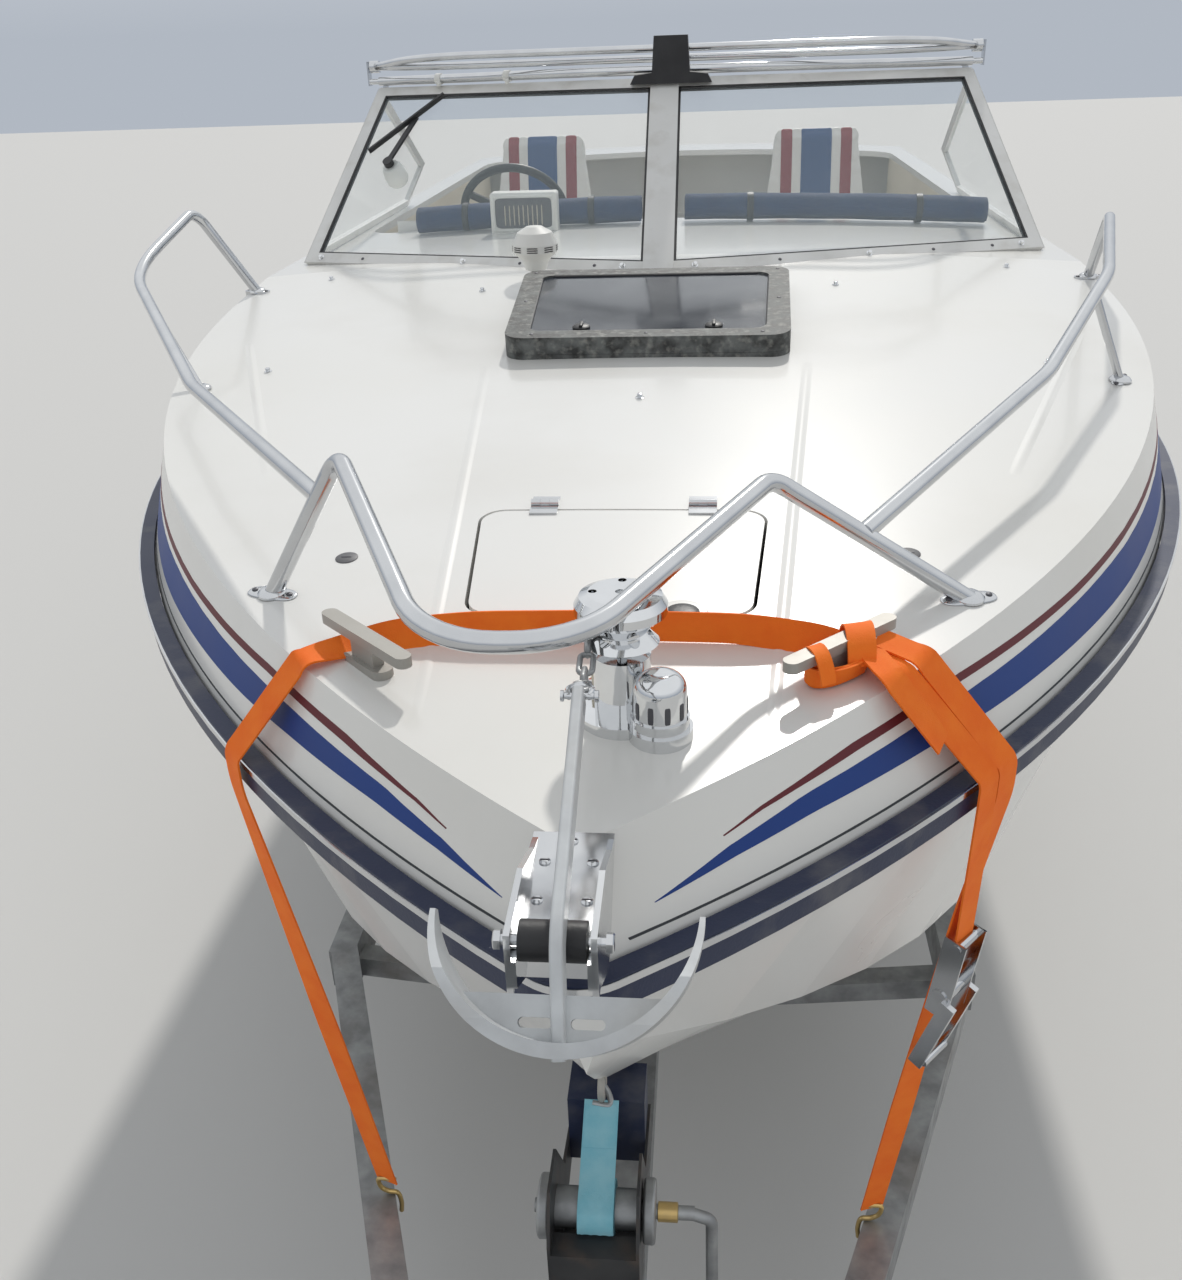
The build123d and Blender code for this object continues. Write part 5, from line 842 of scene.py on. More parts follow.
@dataclass
class HatchTrim:
    """Latches inside the smoked pane, the rubber line round it and the frame's screws; they ride on the lid."""

    hatch_y: tuple[float, float] = (1.630, 2.150)
    hatch_x: tuple[float, float] = (0.297, 0.318)
    rim: float = 0.048
    base: float = 0.0085
    lid: float = 0.036
    latch_x: float = 0.14
    knob: Profile = ((0.019, -0.002), (0.019, 0.003), (0.015, 0.0055), (0.0, 0.006))
    lever: tuple[float, float, float] = (0.004, 0.016, 0.0035)
    bead_r: float = 0.0032
    screws: Profile = ((-0.24, 1.654), (0.0, 1.654), (0.24, 1.654), (-0.29, 2.126), (0.29, 2.126), (-0.283, 1.89),
                       (0.283, 1.89))
    screw: Profile = ((0.0045, -0.001), (0.0042, 0.0009), (0.0022, 0.0018), (0.0, 0.0019))

    def on_lid(self, x: float, y: float, lift: float) -> tuple[Array, Array]:
        """A place on the lid, which lies along the foredeck's middle line.

        Args:
            x: distance to port.
            y: distance aft.
            lift: height over the hatch's base.

        Returns:
            The point, and three unit vectors: to port, along the lid, its normal.
        """
        normal = unit(np.array([0.0, -FORM.deck_rise, 1.0]))
        first = np.array([1.0, 0.0, 0.0])
        z = FORM.datum + FORM.deck_extra + FORM.deck_rise * y
        return np.array([x, y, z]) + normal * (self.base + lift), np.stack([first, np.cross(normal, first), normal])

    def bead(self) -> list[Array]:
        """The rubber line in four straight runs that stop short of the pane's corners."""
        (x_low, x_high), (y_low, y_high), m = self.hatch_x, self.hatch_y, self.rim
        corners = [(m - x_low, y_low + m), (x_low - m, y_low + m), (x_high - m, y_high - m), (m - x_high, y_high - m)]
        t = np.linspace(0.05, 0.95, 24)[:, None]
        runs = []
        for ends in zip(corners, corners[1:] + corners[:1]):
            (a, axes), (b, _) = (self.on_lid(x, y, self.lid - 0.0035) for x, y in ends)
            runs.append(carried(a * (1 - t) + b * t, axes[2], round_section(self.bead_r, 8)))
        return runs

    def build(self) -> None:
        """Two turning latches, the pane's rubber bead and the frame's screws."""
        latches = []
        for side in (-1, 1):
            point, axes = self.on_lid(side * self.latch_x, self.hatch_y[0] + self.rim + 0.030, self.lid - 0.004)
            latches += [turned(self.knob, point, axes[2], 20), pill(point + axes[2] * 0.007, self.lever, axes)]
        shell("hatch_latches", latches, Palette.BLACK, body="hatch_lid")
        shell("hatch_pane_bead", self.bead(), Palette.BLACK, body="hatch_lid")
        frames = [self.on_lid(x, y, self.lid) for x, y in self.screws]
        shell("hatch_frame_screws", [turned(self.screw, point, axes[2], 12) for point, axes in frames],
              Palette.SCREW_AND_SLOT_SHADE, body="hatch_lid")


@dataclass
class BowGear:
    """What belongs to the windlass and bow fitting: chain, shackle, foot switch, stopper, bolts.

    Profiles are pairs of radius and height.
    """

    gypsy: tuple[float, float, float] = (0.036, 0.372, 0.106)
    ring: tuple[float, float, float] = (0.006, 0.190, 1.812)
    link: tuple[float, float, float] = (0.0125, 0.0075, 0.0034)
    chain_start: tuple[float, float, float] = (-0.036, -0.024, 0.0)
    chain_end: tuple[float, float, float] = (0.0, 0.018, -0.002)
    chain_sag: float = 0.012
    shackle_r: float = 0.0036
    shackle: tuple[tuple[float, float, float], ...] = ((-0.010, -0.002, 0.0), (-0.012, 0.014, 0.0),
                                                       (0.0, 0.026, -0.001), (0.012, 0.014, 0.0),
                                                       (0.010, -0.002, 0.0))
    shackle_pin: Profile = ((0.006, -0.019), (0.006, -0.016), (0.0035, -0.015), (0.0035, 0.015), (0.0062, 0.016),
                            (0.0062, 0.020))
    switch: tuple[float, float] = (0.101, 0.585)
    switch_ring: Profile = ((0.036, -0.002), (0.036, 0.004), (0.033, 0.008), (0.026, 0.009))
    switch_pad: Profile = ((0.025, 0.004), (0.025, 0.008), (0.020, 0.0105), (0.010, 0.0115), (0.0, 0.0118))
    stopper: tuple[float, float] = (0.006, 0.420)
    stopper_block: tuple[float, float, float] = (0.012, 0.018, 0.015)
    stopper_rib: tuple[float, float, float] = (0.0125, 0.0016, 0.003)
    plate_top: tuple[float, float] = (0.146, 0.004)
    plate_bolts: Profile = ((-0.024, 0.035), (0.024, 0.035), (-0.024, 0.095), (0.024, 0.095), (0.0, 0.130))
    bolt: Profile = ((0.0062, -0.001), (0.0060, 0.0012), (0.0036, 0.0030), (0.0, 0.0034))
    bolt_slot: tuple[float, float, float] = (0.0048, 0.0008, 0.0009)
    roller_pin: tuple[float, float] = (0.048, -0.030)
    pin_head: Profile = ((0.0098, 0.0), (0.0098, 0.006), (0.0080, 0.0072), (0.0, 0.0075))
    pot: tuple[float, float] = (0.046, -0.048)
    pot_r: float = 0.0306
    pot_slot: tuple[float, float, float] = (0.0035, 0.0012, 0.011)
    pot_slots: int = 10

    def chain_link(self, centre: Array, along: Array, side: Array) -> Array:
        """A chain link: a circle carried round a stadium whose straight runs lie along the chain.

        Args:
            centre: its middle.
            along: direction of the chain.
            side: direction of its width.

        Returns:
            Closed grid.
        """
        half, wide, r = self.link
        a = np.linspace(0, 2 * np.pi, 28, endpoint=False)
        run = np.sign(np.cos(a)) * half + np.cos(a) * wide
        path = centre + np.outer(run, along) + np.outer(np.sin(a) * wide, side)
        tangent = unit(np.roll(path, -1, 0) - np.roll(path, 1, 0))
        normal = np.cross(along, side)
        other = np.cross(tangent, normal)
        section = round_section(r, 8)
        rows = path[:, None] + section[None, :, :1] * normal + section[None, :, 1:] * other[:, None]
        return np.concatenate([rows, rows[:1]])

    def chain(self) -> list[Array]:
        """Links from the gypsy to the anchor's ring, every other one turned by a quarter."""
        gx, gy, gz = self.gypsy
        start = on_deck(gx, gy, gz) + np.array(self.chain_start)
        end = np.array(self.ring) + np.array(self.chain_end)
        path = curve_through([start, start * 0.5 + end * 0.5 - UP * self.chain_sag, end], 60)
        reach = np.linalg.norm(np.diff(path, axis=0), axis=1).sum()
        half, wide, r = self.link
        pitch = 2 * (half + wide) - 2 * r - 0.0006
        chosen = np.linspace(4, 55, max(int(reach / pitch), 2)).astype(int)
        links = []
        for i, (point, along) in enumerate(zip(path[chosen], unit(np.gradient(path, axis=0))[chosen])):
            side = unit(np.cross(along, (0, 0, 1.0)))
            links.append(self.chain_link(point, along, side if i % 2 else np.cross(along, side)))
        return links

    def foot_switch(self) -> None:
        """Builds the foot switch: a white ring round a black pad."""
        point, axes = deck_frame(*self.switch)
        shell("foot_switch_ring", [turned(self.switch_ring, point, axes[2], 28)], Palette.LAMP_WHITE)
        shell("foot_switch_pad", [turned(self.switch_pad, point, axes[2], 28)], Palette.BLACK)

    def plate_trim(self) -> None:
        """Builds the bolts of the bow plate, the heads of the roller's pin and dark marks of painted shade in the
        bolts' slots.
        """
        top = float(FORM.deck_at(0.0, self.plate_top[0])) + self.plate_top[1]
        places = [np.array([x, y, top]) for x, y in self.plate_bolts]
        heads = [turned(self.bolt, place, (0, 0, 1), 16) for place in places]
        x, y = self.roller_pin
        heads += [turned(self.pin_head, np.array([side * x, y, BOW_PIN_Z]), (side, 0, 0), 6) for side in (-1, 1)]
        shell("bow_plate_bolts", heads, Palette.STAINLESS, sharp=25)
        shell("bow_plate_slot_shade", [pill(place + UP * 0.0030, self.bolt_slot, None, 0.3) for place in places],
              Palette.SCREW_AND_SLOT_SHADE)

    def motor_slot_shade(self) -> list[Array]:
        """Painted shade in the slots round the motor's pot, each a thin upright dark block."""
        centre = on_deck(self.gypsy[0] + self.pot[0], self.gypsy[1] + self.pot[1])
        slots = []
        for a in np.linspace(0, 2 * np.pi, self.pot_slots, endpoint=False):
            c, s = np.cos(a), np.sin(a)
            slots.append(pill(centre + np.array([self.pot_r * c, self.pot_r * s, 0.040]), self.pot_slot,
                              np.array([[-s, c, 0], [-c, -s, 0], [0, 0, 1.0]]), 0.4))
        return slots

    def build(self) -> None:
        """Builds the chain, its shackle and the fittings round them."""
        shell("anchor_chain", self.chain(), Palette.GALVANISED, sharp=80)
        ring = np.array(self.ring)
        bow = carried(curve_through(ring + np.array(self.shackle), 26), (0, 0, 1), round_section(self.shackle_r, 10))
        shell("anchor_shackle", [bow, turned(self.shackle_pin, ring, (1, 0, 0), 14)], Palette.STAINLESS)
        self.foot_switch()
        point, axes = deck_frame(*self.stopper, 0.0, 8.0)
        block = [pill(point + axes[2] * 0.013, self.stopper_block, axes, 0.3)]
        block += [pill(point + axes[2] * 0.027 + axes[1] * off, self.stopper_rib, axes, 0.5)
                  for off in np.linspace(-0.013, 0.013, 5)]
        shell("chain_stopper", block, Palette.CREAM)
        self.plate_trim()
        shell("motor_pot_slot_shade", self.motor_slot_shade(), Palette.SCREW_AND_SLOT_SHADE)


Stop = tuple[Array, Array, float]


@dataclass
class Webbing:
    """Orange tie-down webbing from rail to rail, made fast to both cleats, with its hooks and loose end.

    A stop of its route is a place, the direction of its width there and the length of its bend.
    """

    width: float = 0.042
    thick: float = 0.0028
    cleat: tuple[float, float, float] = (0.297, 0.464, 44.0)
    hook: tuple[float, float, float] = (0.425, 0.580, 0.5622)
    hook_r: float = 0.0042
    hook_points: tuple[tuple[float, float], ...] = ((-0.016, 0.034), (0.016, 0.034), (0.012, 0.012), (0.0, 0.004),
                                                    (-0.014, 0.002), (-0.020, -0.020), (-0.018, -0.045))
    edge_y: float = 0.465
    fender_out: float = 0.037
    end_width: tuple[float, float, float] = (0.93, 0.35, 0.0)
    neck: tuple[float, float] = (0.046, 0.022)
    across_deck: tuple[tuple[float, float, float, tuple[float, float, float], float], ...] = (
        (-0.345, 0.492, 0.009, (-0.25, 0.9, 0.25), 0.02), (-0.262, 0.514, 0.016, (0.0, 0.45, 0.9), 0.03),
        (-0.160, 0.522, 0.0225, (0, 0, 1.0), 0.03), (0.0, 0.524, 0.0235, (0, 0, 1.0), 0.05),
        (0.175, 0.522, 0.0225, (0, 0, 1.0), 0.03), (0.262, 0.514, 0.015, (0.0, 0.5, 0.85), 0.02),
        (0.318, 0.500, 0.012, (0.35, 0.95, 0.25), 0))

    def over_gunwale(self) -> tuple[Array, Array, Array]:
        """Points of the port strap: on the deck's edge, outside the fender's top and outside its foot."""
        y = self.edge_y
        z = FORM.datum + FORM.deck_extra + FORM.deck_rise * y + 0.010
        x = float(FORM.beam_at(y, -self.fender_out))
        rub = float(FORM.rub_z(y))
        inboard = np.array([float(FORM.beam_at(y - 0.006, 0.048)), y - 0.006, z])
        return inboard, np.array([x, y, rub + 0.020]), np.array([x, y, rub - 0.028])

    def strap(self, stops: Sequence[Stop], width: float) -> Array:
        """Webbing along straight runs, its width direction turning evenly between stops.

        Args:
            stops: the stops of its route.
            width: its width.

        Returns:
            Closed grid.
        """
        rows = [np.concatenate([np.asarray(place, float), unit(np.asarray(wide, float))]) for place, wide, _ in stops]
        both = bent_route(rows, [bend for _, _, bend in stops[1:-1]])
        return carried(both[:, :3], both[:, 3:], flat_section(width, self.thick))

    def lashing(self) -> list[Array]:
        """Turns round the port cleat's neck, each a widening oval, and two crossings over the bar."""
        x, y, heading = self.cleat
        point, axes = deck_frame(x, y, 0.0, heading)
        a = np.linspace(0, 5.6 * np.pi, 170)
        grow = 1 + 0.045 * a / np.pi
        path = (point + np.outer(self.neck[0] * grow * np.cos(a), axes[0])
                + np.outer(self.neck[1] * grow * np.sin(a), axes[1])
                + np.outer(0.016 + 0.003 * np.sin(a * 0.5 + 0.6), axes[2]))
        tilt = unit(axes[2] + 0.25 * np.sin(a)[:, None] * axes[1] + 0.15 * np.cos(0.5 * a)[:, None] * axes[0])
        grids = [carried(path, tilt, flat_section(0.024, self.thick))]
        s = np.linspace(-1, 1, 48)
        hump = 0.010 + 0.0415 * np.cos(s * np.pi / 2 * 0.97) ** 0.45
        half = 0.030
        for place, slant, wide in ((0.030, 0.026, 0.036), (-0.044, 0.012, 0.020)):
            route = (point + np.outer(place + slant * s, axes[0]) + np.outer(half * s, axes[1])
                     + np.outer(hump, axes[2]))
            turn = unit(axes[0] - axes[1] * slant / half * 0.6)
            grids.append(carried(route, turn, flat_section(wide, self.thick)))
        return grids

    def hook_grid(self, side: int) -> Array:
        """A bent wire hook from the strap's end over the chassis rail's inner edge.

        Args:
            side: 1 to port, -1 to starboard.

        Returns:
            Closed grid.
        """
        x, y, z = self.hook
        points = np.array([(side * (x + dx), y, z + dz) for dx, dz in self.hook_points])
        return carried(curve_through(points, 50), (0, 1, 0), round_section(self.hook_r, 10))

    def starboard_run(self, hook: Array, along: Array) -> Array:
        """The long strap: from the starboard hook over the gunwale and the deck to the port cleat.

        Args:
            hook: the port strap's end at its hook.
            along: direction of the port gunwale.

        Returns:
            Closed grid.
        """
        over, upper, lower = self.over_gunwale()
        end, flat = np.array(self.end_width) * FLIP, along * FLIP
        stops = [(hook * FLIP, end, 0), ((lower * 0.45 + hook * 0.55) * FLIP, end, 0.03), (lower * FLIP, flat, 0.02),
                 (upper * FLIP, flat, 0.012), (over * FLIP, flat, 0.012)]
        stops += [(on_deck(x, y, lift), wide, bend) for x, y, lift, wide, bend in self.across_deck]
        return self.strap(stops, self.width)

    def port_runs(self, hook: Array, along: Array) -> list[Array]:
        """The port strap down to its hook, the doubled part beside it and the tail that lies over it.

        Args:
            hook: the port strap's end at its hook.
            along: direction of the port gunwale.

        Returns:
            Three closed grids.
        """
        over, upper, lower = self.over_gunwale()
        shift, rise, start = along * 0.0228, UP * 0.0035, on_deck(0.338, 0.488, 0.028)
        out = unit(np.array([along[1], -along[0], 0.0]))
        down = unit(hook - lower)
        end = np.array(self.end_width)
        main = self.strap([(start + shift * 0.4 + rise, along, 0), (over + shift + rise, along, 0.012),
                           (upper + shift, along, 0.012), (lower + shift, along, 0.02),
                           (lower * 0.80 + hook * 0.20, along, 0.03), (lower * 0.3 + hook * 0.7, end, 0.03),
                           (hook, end, 0)], 0.041)
        spool = lower * 0.64 + hook * 0.36 - down * 0.072 + out * 0.016
        doubled = self.strap([(start - shift * 0.6, along, 0), (over - shift, along, 0.012),
                              (upper - shift + out * 0.002, along, 0.012),
                              (lower - shift * 1.15 + out * 0.003, along, 0.02), (spool, along, 0)], 0.040)
        lift = out * 0.004 + UP * 0.004
        base, tip = over - shift * 2.1, over * 0.40 + upper * 0.60 - shift * 2.5
        tail = self.strap([(on_deck(0.330, 0.470, 0.030), along, 0), (base + lift * 1.2, along, 0.012),
                           (tip + lift * 1.5, along * 0.97 + down * 0.2, 0)], 0.038)
        return [main, doubled, tail]

    def build(self) -> None:
        """Builds the webbing, which replaces the plain straps, and its hooks."""
        hook = np.array(self.hook) + UP * 0.030
        inboard = self.over_gunwale()[0]
        along = unit(np.array([FORM.side_y - self.edge_y, inboard[0] - FORM.half_beam + FORM.plan_r, 0.0]))
        straps = shell("orange_webbing", [self.starboard_run(hook, along)] + self.port_runs(hook, along)
                       + self.lashing(), Palette.ORANGE, sharp=50)
        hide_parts("tie_down_straps")
        shell("strap_hooks", [self.hook_grid(1), self.hook_grid(-1)], Palette.BRASS)


@dataclass
class WinchGear:
    """Wound webbing on the winch drum, the taut strap to the bow eye and the drum's shaft sleeve."""

    drum: tuple[float, float] = (0.195, 1.045)
    eye: tuple[float, float] = (0.304, 1.150)
    width: float = 0.048
    core_r: float = 0.027
    wound_r: float = 0.0365
    strap_r: float = 0.0385
    hook_r: float = 0.0042
    hook: tuple[tuple[float, float, float], ...] = ((-0.012, -0.004, -0.002), (0.012, -0.004, -0.002),
                                                    (0.008, 0.008, 0.006), (0.0, 0.016, 0.014),
                                                    (0.0, 0.028, 0.006), (0.0, 0.022, -0.010))
    sleeve_x: float = 0.078
    sleeve: Profile = ((0.0095, 0.0), (0.0125, 0.001), (0.0125, 0.026), (0.0095, 0.027))

    def webbing(self, target: Array) -> list[Array]:
        """The winding on the drum, the strap's taut run and the sewn lap at its end.

        Args:
            target: where the strap ends, under the bow eye.

        Returns:
            Three closed grids.
        """
        y, z = self.drum
        half = self.width / 2
        layers = [(self.wound_r + 0.0012 * (i % 2), v * half * 0.98) for i, v in enumerate(np.linspace(-1, 1, 9))]
        wound = turned([(self.core_r, -half), *layers, (self.core_r, half)], (0.0, y, z), (1, 0, 0), 40)
        aim = math.atan2(target[2] - z, target[1] - y)
        a = np.linspace(aim + 2.4, aim + math.pi / 2 + 0.12, 14)
        arc = np.stack([np.zeros_like(a), y + self.strap_r * np.cos(a), z + self.strap_r * np.sin(a)], -1)
        run = straight(arc[-1], target, 20)[1:]
        strap = carried(np.concatenate([arc, run]), (1, 0, 0), flat_section(self.width - 0.002, 0.003))
        lap = [target + (arc[-1] - target) * v + [0, 0.0012, 0.0022] for v in np.linspace(0.02, 0.45, 8)]
        return [wound, strap, carried(np.stack(lap), (1, 0, 0), flat_section(self.width - 0.006, 0.002))]

    def build(self) -> None:
        """Builds the winding, the strap, its hook and the yellow shaft sleeve."""
        target = np.array([0.0, self.eye[0] - 0.012, self.eye[1] - 0.016])
        webbing = shell("winch_webbing", self.webbing(target), Palette.TEAL, sharp=50)
        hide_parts("winch_strap")
        hook = carried(curve_through(target + np.array(self.hook), 40), (0.2, 0, 1), round_section(self.hook_r, 10))
        shell("bow_hook", [hook], Palette.GALVANISED)
        shell("winch_shaft_sleeve", [turned(self.sleeve, (self.sleeve_x, *self.drum), (1, 0, 0), 20)],
              Palette.BRASS)


@dataclass
class ScreenTrim:
    """Studs, screws, glazing rubber, rail clips and the wiper's motor on the windscreen.

    Profiles are pairs of radius and height; places along the foot are a share of its length and a side.
    """

    foot_y: float = 2.240
    corner: tuple[float, float] = (1.020, 2.610)
    foot_lift: float = 0.004
    rise: float = 0.424
    rake: float = 0.556
    side: float = 0.864
    bar: float = 0.034
    depth: float = 0.016
    studs: Profile = ((0.088, 1), (0.53, 1), (0.94, 1), (0.088, -1), (0.52, -1), (0.95, -1))
    stud: Profile = ((0.0085, -0.001), (0.0085, 0.0015), (0.005, 0.0022), (0.0042, 0.0048), (0.0058, 0.0065),
                     (0.0050, 0.0085), (0.002, 0.0092))
    screws: Profile = ((0.16, -1), (0.82, -1), (0.86, 1), (0.30, 1), (0.70, 1), (0.36, -1))
    screw: Profile = ((0.0048, -0.001), (0.0044, 0.0010), (0.0026, 0.0020), (0.0, 0.0021))
    post_clear: float = 0.006
    rubber: tuple[float, float, float] = (0.006, 0.007, 0.0042)
    wiper: tuple[float, float] = (0.79, 0.55)
    bell: Profile = ((0.010, 0.002), (0.024, 0.004), (0.030, 0.012), (0.034, 0.030), (0.034, 0.052), (0.028, 0.064),
                     (0.018, 0.070), (0.0, 0.072))
    rail_lift: float = 0.0235
    rail_end: tuple[float, float] = (0.26, 0.07)
    clips: tuple[float, ...] = (-0.68, -0.46)
    clip: Profile = ((0.0128, -0.010), (0.0152, -0.009), (0.0152, 0.009), (0.0128, 0.010))
    clip_foot: tuple[float, float, float] = (0.006, 0.010, 0.008)

    def corners(self) -> tuple[Array, Array, Array, Array]:
        """Corners of the port pane: post foot, outer foot, outer top, post top."""
        foot = on_deck(0, self.foot_y, self.foot_lift)
        outer = on_deck(*self.corner, self.foot_lift)
        top = foot + np.array([0, self.rake, self.rise])
        outer_top = foot + (outer - foot) * self.side + (top - foot) * ((self.rise + 0.002) / self.rise)
        return foot, outer, outer_top, top

    def rubbers(self, quad: Sequence[Array], normal: Array) -> list[Array]:
        """Rubber strips inside the frame's bars, on both faces of both panes.

        Args:
            quad: the port pane's corners, in order.
            normal: the pane's outward normal.

        Returns:
            Closed grids.
        """
        middle = sum(quad) / 4
        edges = [unit(b - a) for a, b in zip(quad, quad[1:] + quad[:1])]
        inward = [unit(np.cross(edge, normal)) for edge in edges]
        inward = [v if v @ (middle - q) > 0 else -v for v, q in zip(inward, quad)]
        inner = [q + (inward[i - 1] + inward[i]) * (self.bar + 0.001) / (1 + inward[i - 1] @ inward[i])
                 for i, q in enumerate(quad)]
        for i in (0, 3):
            inner[i] = inner[i] + edges[0] * self.post_clear
        width, thick, lift = self.rubber
        strips = []
        for a, b in zip(inner, inner[1:] + inner[:1]):
            for face in (lift, -lift):
                grid = carried(straight(a, b, 20) + normal * face, normal, flat_section(width, thick))
                strips += [grid, mirrored(grid)]
        return strips

    def rail_clips(self, outer_top: Array, top: Array) -> list[Array]:
        """Clips round the starboard top rail, with their feet.

        Args:
            outer_top: the port pane's outer top corner.
            top: the post's top.

        Returns:
            Closed grids.
        """
        start = outer_top + UP * self.rail_lift
        end = top + UP * self.rail_lift + np.array([*self.rail_end, 0.0])
        grids = []
        for x in self.clips:
            point = (start + (end - start) * ((abs(x) - start[0]) / (end[0] - start[0]))) * FLIP
            grids.append(turned(self.clip, point, unit((end - start) * FLIP), 20))
            grids.append(pill(point + np.array([0, -0.012, -0.013]), self.clip_foot, None, 0.4))
        return grids

    def build(self) -> None:
        """Builds the trim on both front panes."""
        foot, outer, outer_top, top = self.corners()
        across, up = outer - foot, top - foot
        normal = unit(np.cross(across, up))
        normal = normal if normal[1] < 0 else -normal
        offset = up * (0.5 * self.bar / np.linalg.norm(up)) + normal * self.depth / 2
        for name, places, profile, count, finish in (
                ("screen_snap_studs", self.studs, self.stud, 16, Palette.CHROME),
                ("screen_screws", self.screws, self.screw, 12, Palette.SCREW_AND_SLOT_SHADE)):
            shell(name, [turned(profile, (foot + across * share + offset) * (1 if side > 0 else FLIP),
                                normal * (1 if side > 0 else FLIP), count) for share, side in places],
                  finish)
        shell("glazing_rubber", self.rubbers([foot, outer, outer_top, top], normal), Palette.BLACK)
        share, lift = self.wiper
        bell = turned(self.bell, (foot + across * share + up * lift) * FLIP, -normal * FLIP, 28)
        shell("wiper_motor", [bell], Palette.LAMP_WHITE)
        shell("rail_clips", self.rail_clips(outer_top, top), Palette.LAMP_WHITE)


@dataclass
class CanvasRolls:
    """Canvas rolled up along the dash: each a single sheet wound in a slack spiral."""

    rolls: Profile = ((0.050, 0.955), (-0.790, -0.085))
    y: float = 3.070
    outer: float = 0.0405
    inner: float = 0.012
    turns: float = 7.5
    lift: float = 0.0012
    ripple: float = 0.0011
    cloth: float = 0.0009
    stations: int = 56
    tie_shares: tuple[float, float] = (0.22, 0.78)
    tie_half: float = 0.010

    def spiral(self, x0: float, x1: float, seed: float) -> tuple[Array, float]:
        """One wound sheet: radius grows evenly with the angle, and slack folds ripple it along its length.

        Args:
            x0: starboard end.
            x1: port end.
            seed: shifts the ripples.

        Returns:
            Grid along the roll and round its turns, and the sheet's length wound up.
        """
        a = np.linspace(0, 2 * np.pi * self.turns, int(26 * self.turns))[None]
        x = np.linspace(x0, x1, self.stations)[:, None]
        r = self.inner + (self.outer - self.inner) * a / a[0, -1]
        wave = np.sin(23 * x + seed + 2 * a) * np.sin(9 * x - seed) * (r / self.outer) ** 2
        r = r + self.ripple * wave - self.ripple
        centre = FORM.deck_at(x, self.y) + self.outer + self.lift
        grid = np.stack([np.broadcast_to(x, r.shape) + 0.0015 * np.sin(a * 0.7 + seed),
                         self.y + r * np.cos(a + seed), centre + r * np.sin(a + seed)], -1)
        length = float(np.linalg.norm(np.diff(grid[self.stations // 2], axis=0), axis=-1).sum())
        return grid, length

    def build(self) -> None:
        """Builds both rolls, each a wound sheet given thickness by a modifier, and their ties."""
        for i, (x0, x1) in enumerate(self.rolls):
            grid, length = self.spiral(x0, x1, 0.8 + 1.9 * i)
            obj = mesh_from_arrays(f"canvas_roll_{i + 1}", row(grid).reshape(-1, 3), quads(*grid.shape[:2]))
            thick = obj.modifiers.new("cloth", "SOLIDIFY")
            thick.thickness = self.cloth
            thick.offset = 0
            dress(obj, Palette.CANVAS.build())
            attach(obj, ROOT)
            LOG.info("%s: %.3f x %.3f m", obj.name, abs(x1 - x0), length)
        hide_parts("canvas_rolls")
        r, half = self.outer + 0.0010, self.tie_half
        profile = [(r - 0.003, -half), (r, 0.001 - half), (r, half - 0.001), (r - 0.003, half)]
        places = [x0 + (x1 - x0) * share for x0, x1 in self.rolls for share in self.tie_shares]
        shell("canvas_ties", [turned(profile, on_deck(x, self.y, self.outer + self.lift), (1, 0, 0), 36)
                              for x in places], Palette.BLACK)


@dataclass(frozen=True)
class Vinyl:
    """Seat vinyl with sewn colour panels.

    Attributes:
        name: the material's name.
        centre: the seat's middle, to port.
        half: half of the pattern's width.
        panels: from, to and finish of each coloured panel, by distance from the seat's middle.
    """

    name: str
    centre: float
    half: float
    panels: tuple[tuple[float, float, Finish], ...]

    def build(self) -> bpy.types.Material:
        """Makes the material: over the white vinyl, each panel shows where the crosswise distance is in it.

        Returns:
            The material.
        """
        mat = replace(Palette.VINYL_WHITE, name=self.name).build()
        tree = mat.node_tree
        shader = next(node for node in tree.nodes if node.type == "BSDF_PRINCIPLED")
        place = next(node for node in tree.nodes if node.type == "TEX_COORD")
        colour = shader.inputs["Base Color"].links[0].from_socket
        nodes = Nodes(tree, fresh=False)
        split = nodes.add("ShaderNodeSeparateXYZ", {"Vector": place.outputs["Object"]})
        span = nodes.ramp(split.outputs["X"], self.centre - self.half, self.centre + self.half)
        for low, high, finish in self.panels:
            over = nodes.maths("GREATER_THAN", span, 0.5 + low / (2 * self.half))
            under = nodes.maths("LESS_THAN", span, 0.5 + high / (2 * self.half))
            colour = nodes.blend(nodes.maths("MULTIPLY", over, under), colour, (*finish.colour, 1.0))
        tree.links.new(colour, shader.inputs["Base Color"])
        return mat


def vertex_values(mesh: bpy.types.Mesh, kind: str) -> Array:
    """Reads a mesh's vertices.

    Args:
        mesh: the mesh.
        kind: "co" for places, "normal" for normals.

    Returns:
        Array of shape (vertices, 3).
    """
    values = np.empty(len(mesh.vertices) * 3, np.float32)
    mesh.vertices.foreach_get(kind, values)
    return values.reshape(-1, 3)


def corner_numbers(items: bpy.types.bpy_prop_collection, width: int) -> Array:
    """Reads the vertex numbers of edges or triangles.

    Args:
        items: the mesh's edges or polygons.
        width: 2 for edges, 3 for triangles.

    Returns:
        Array of shape (items, width).
    """
    values = np.empty(len(items) * width, np.int32)
    items.foreach_get("vertices", values)
    return values.reshape(-1, width)


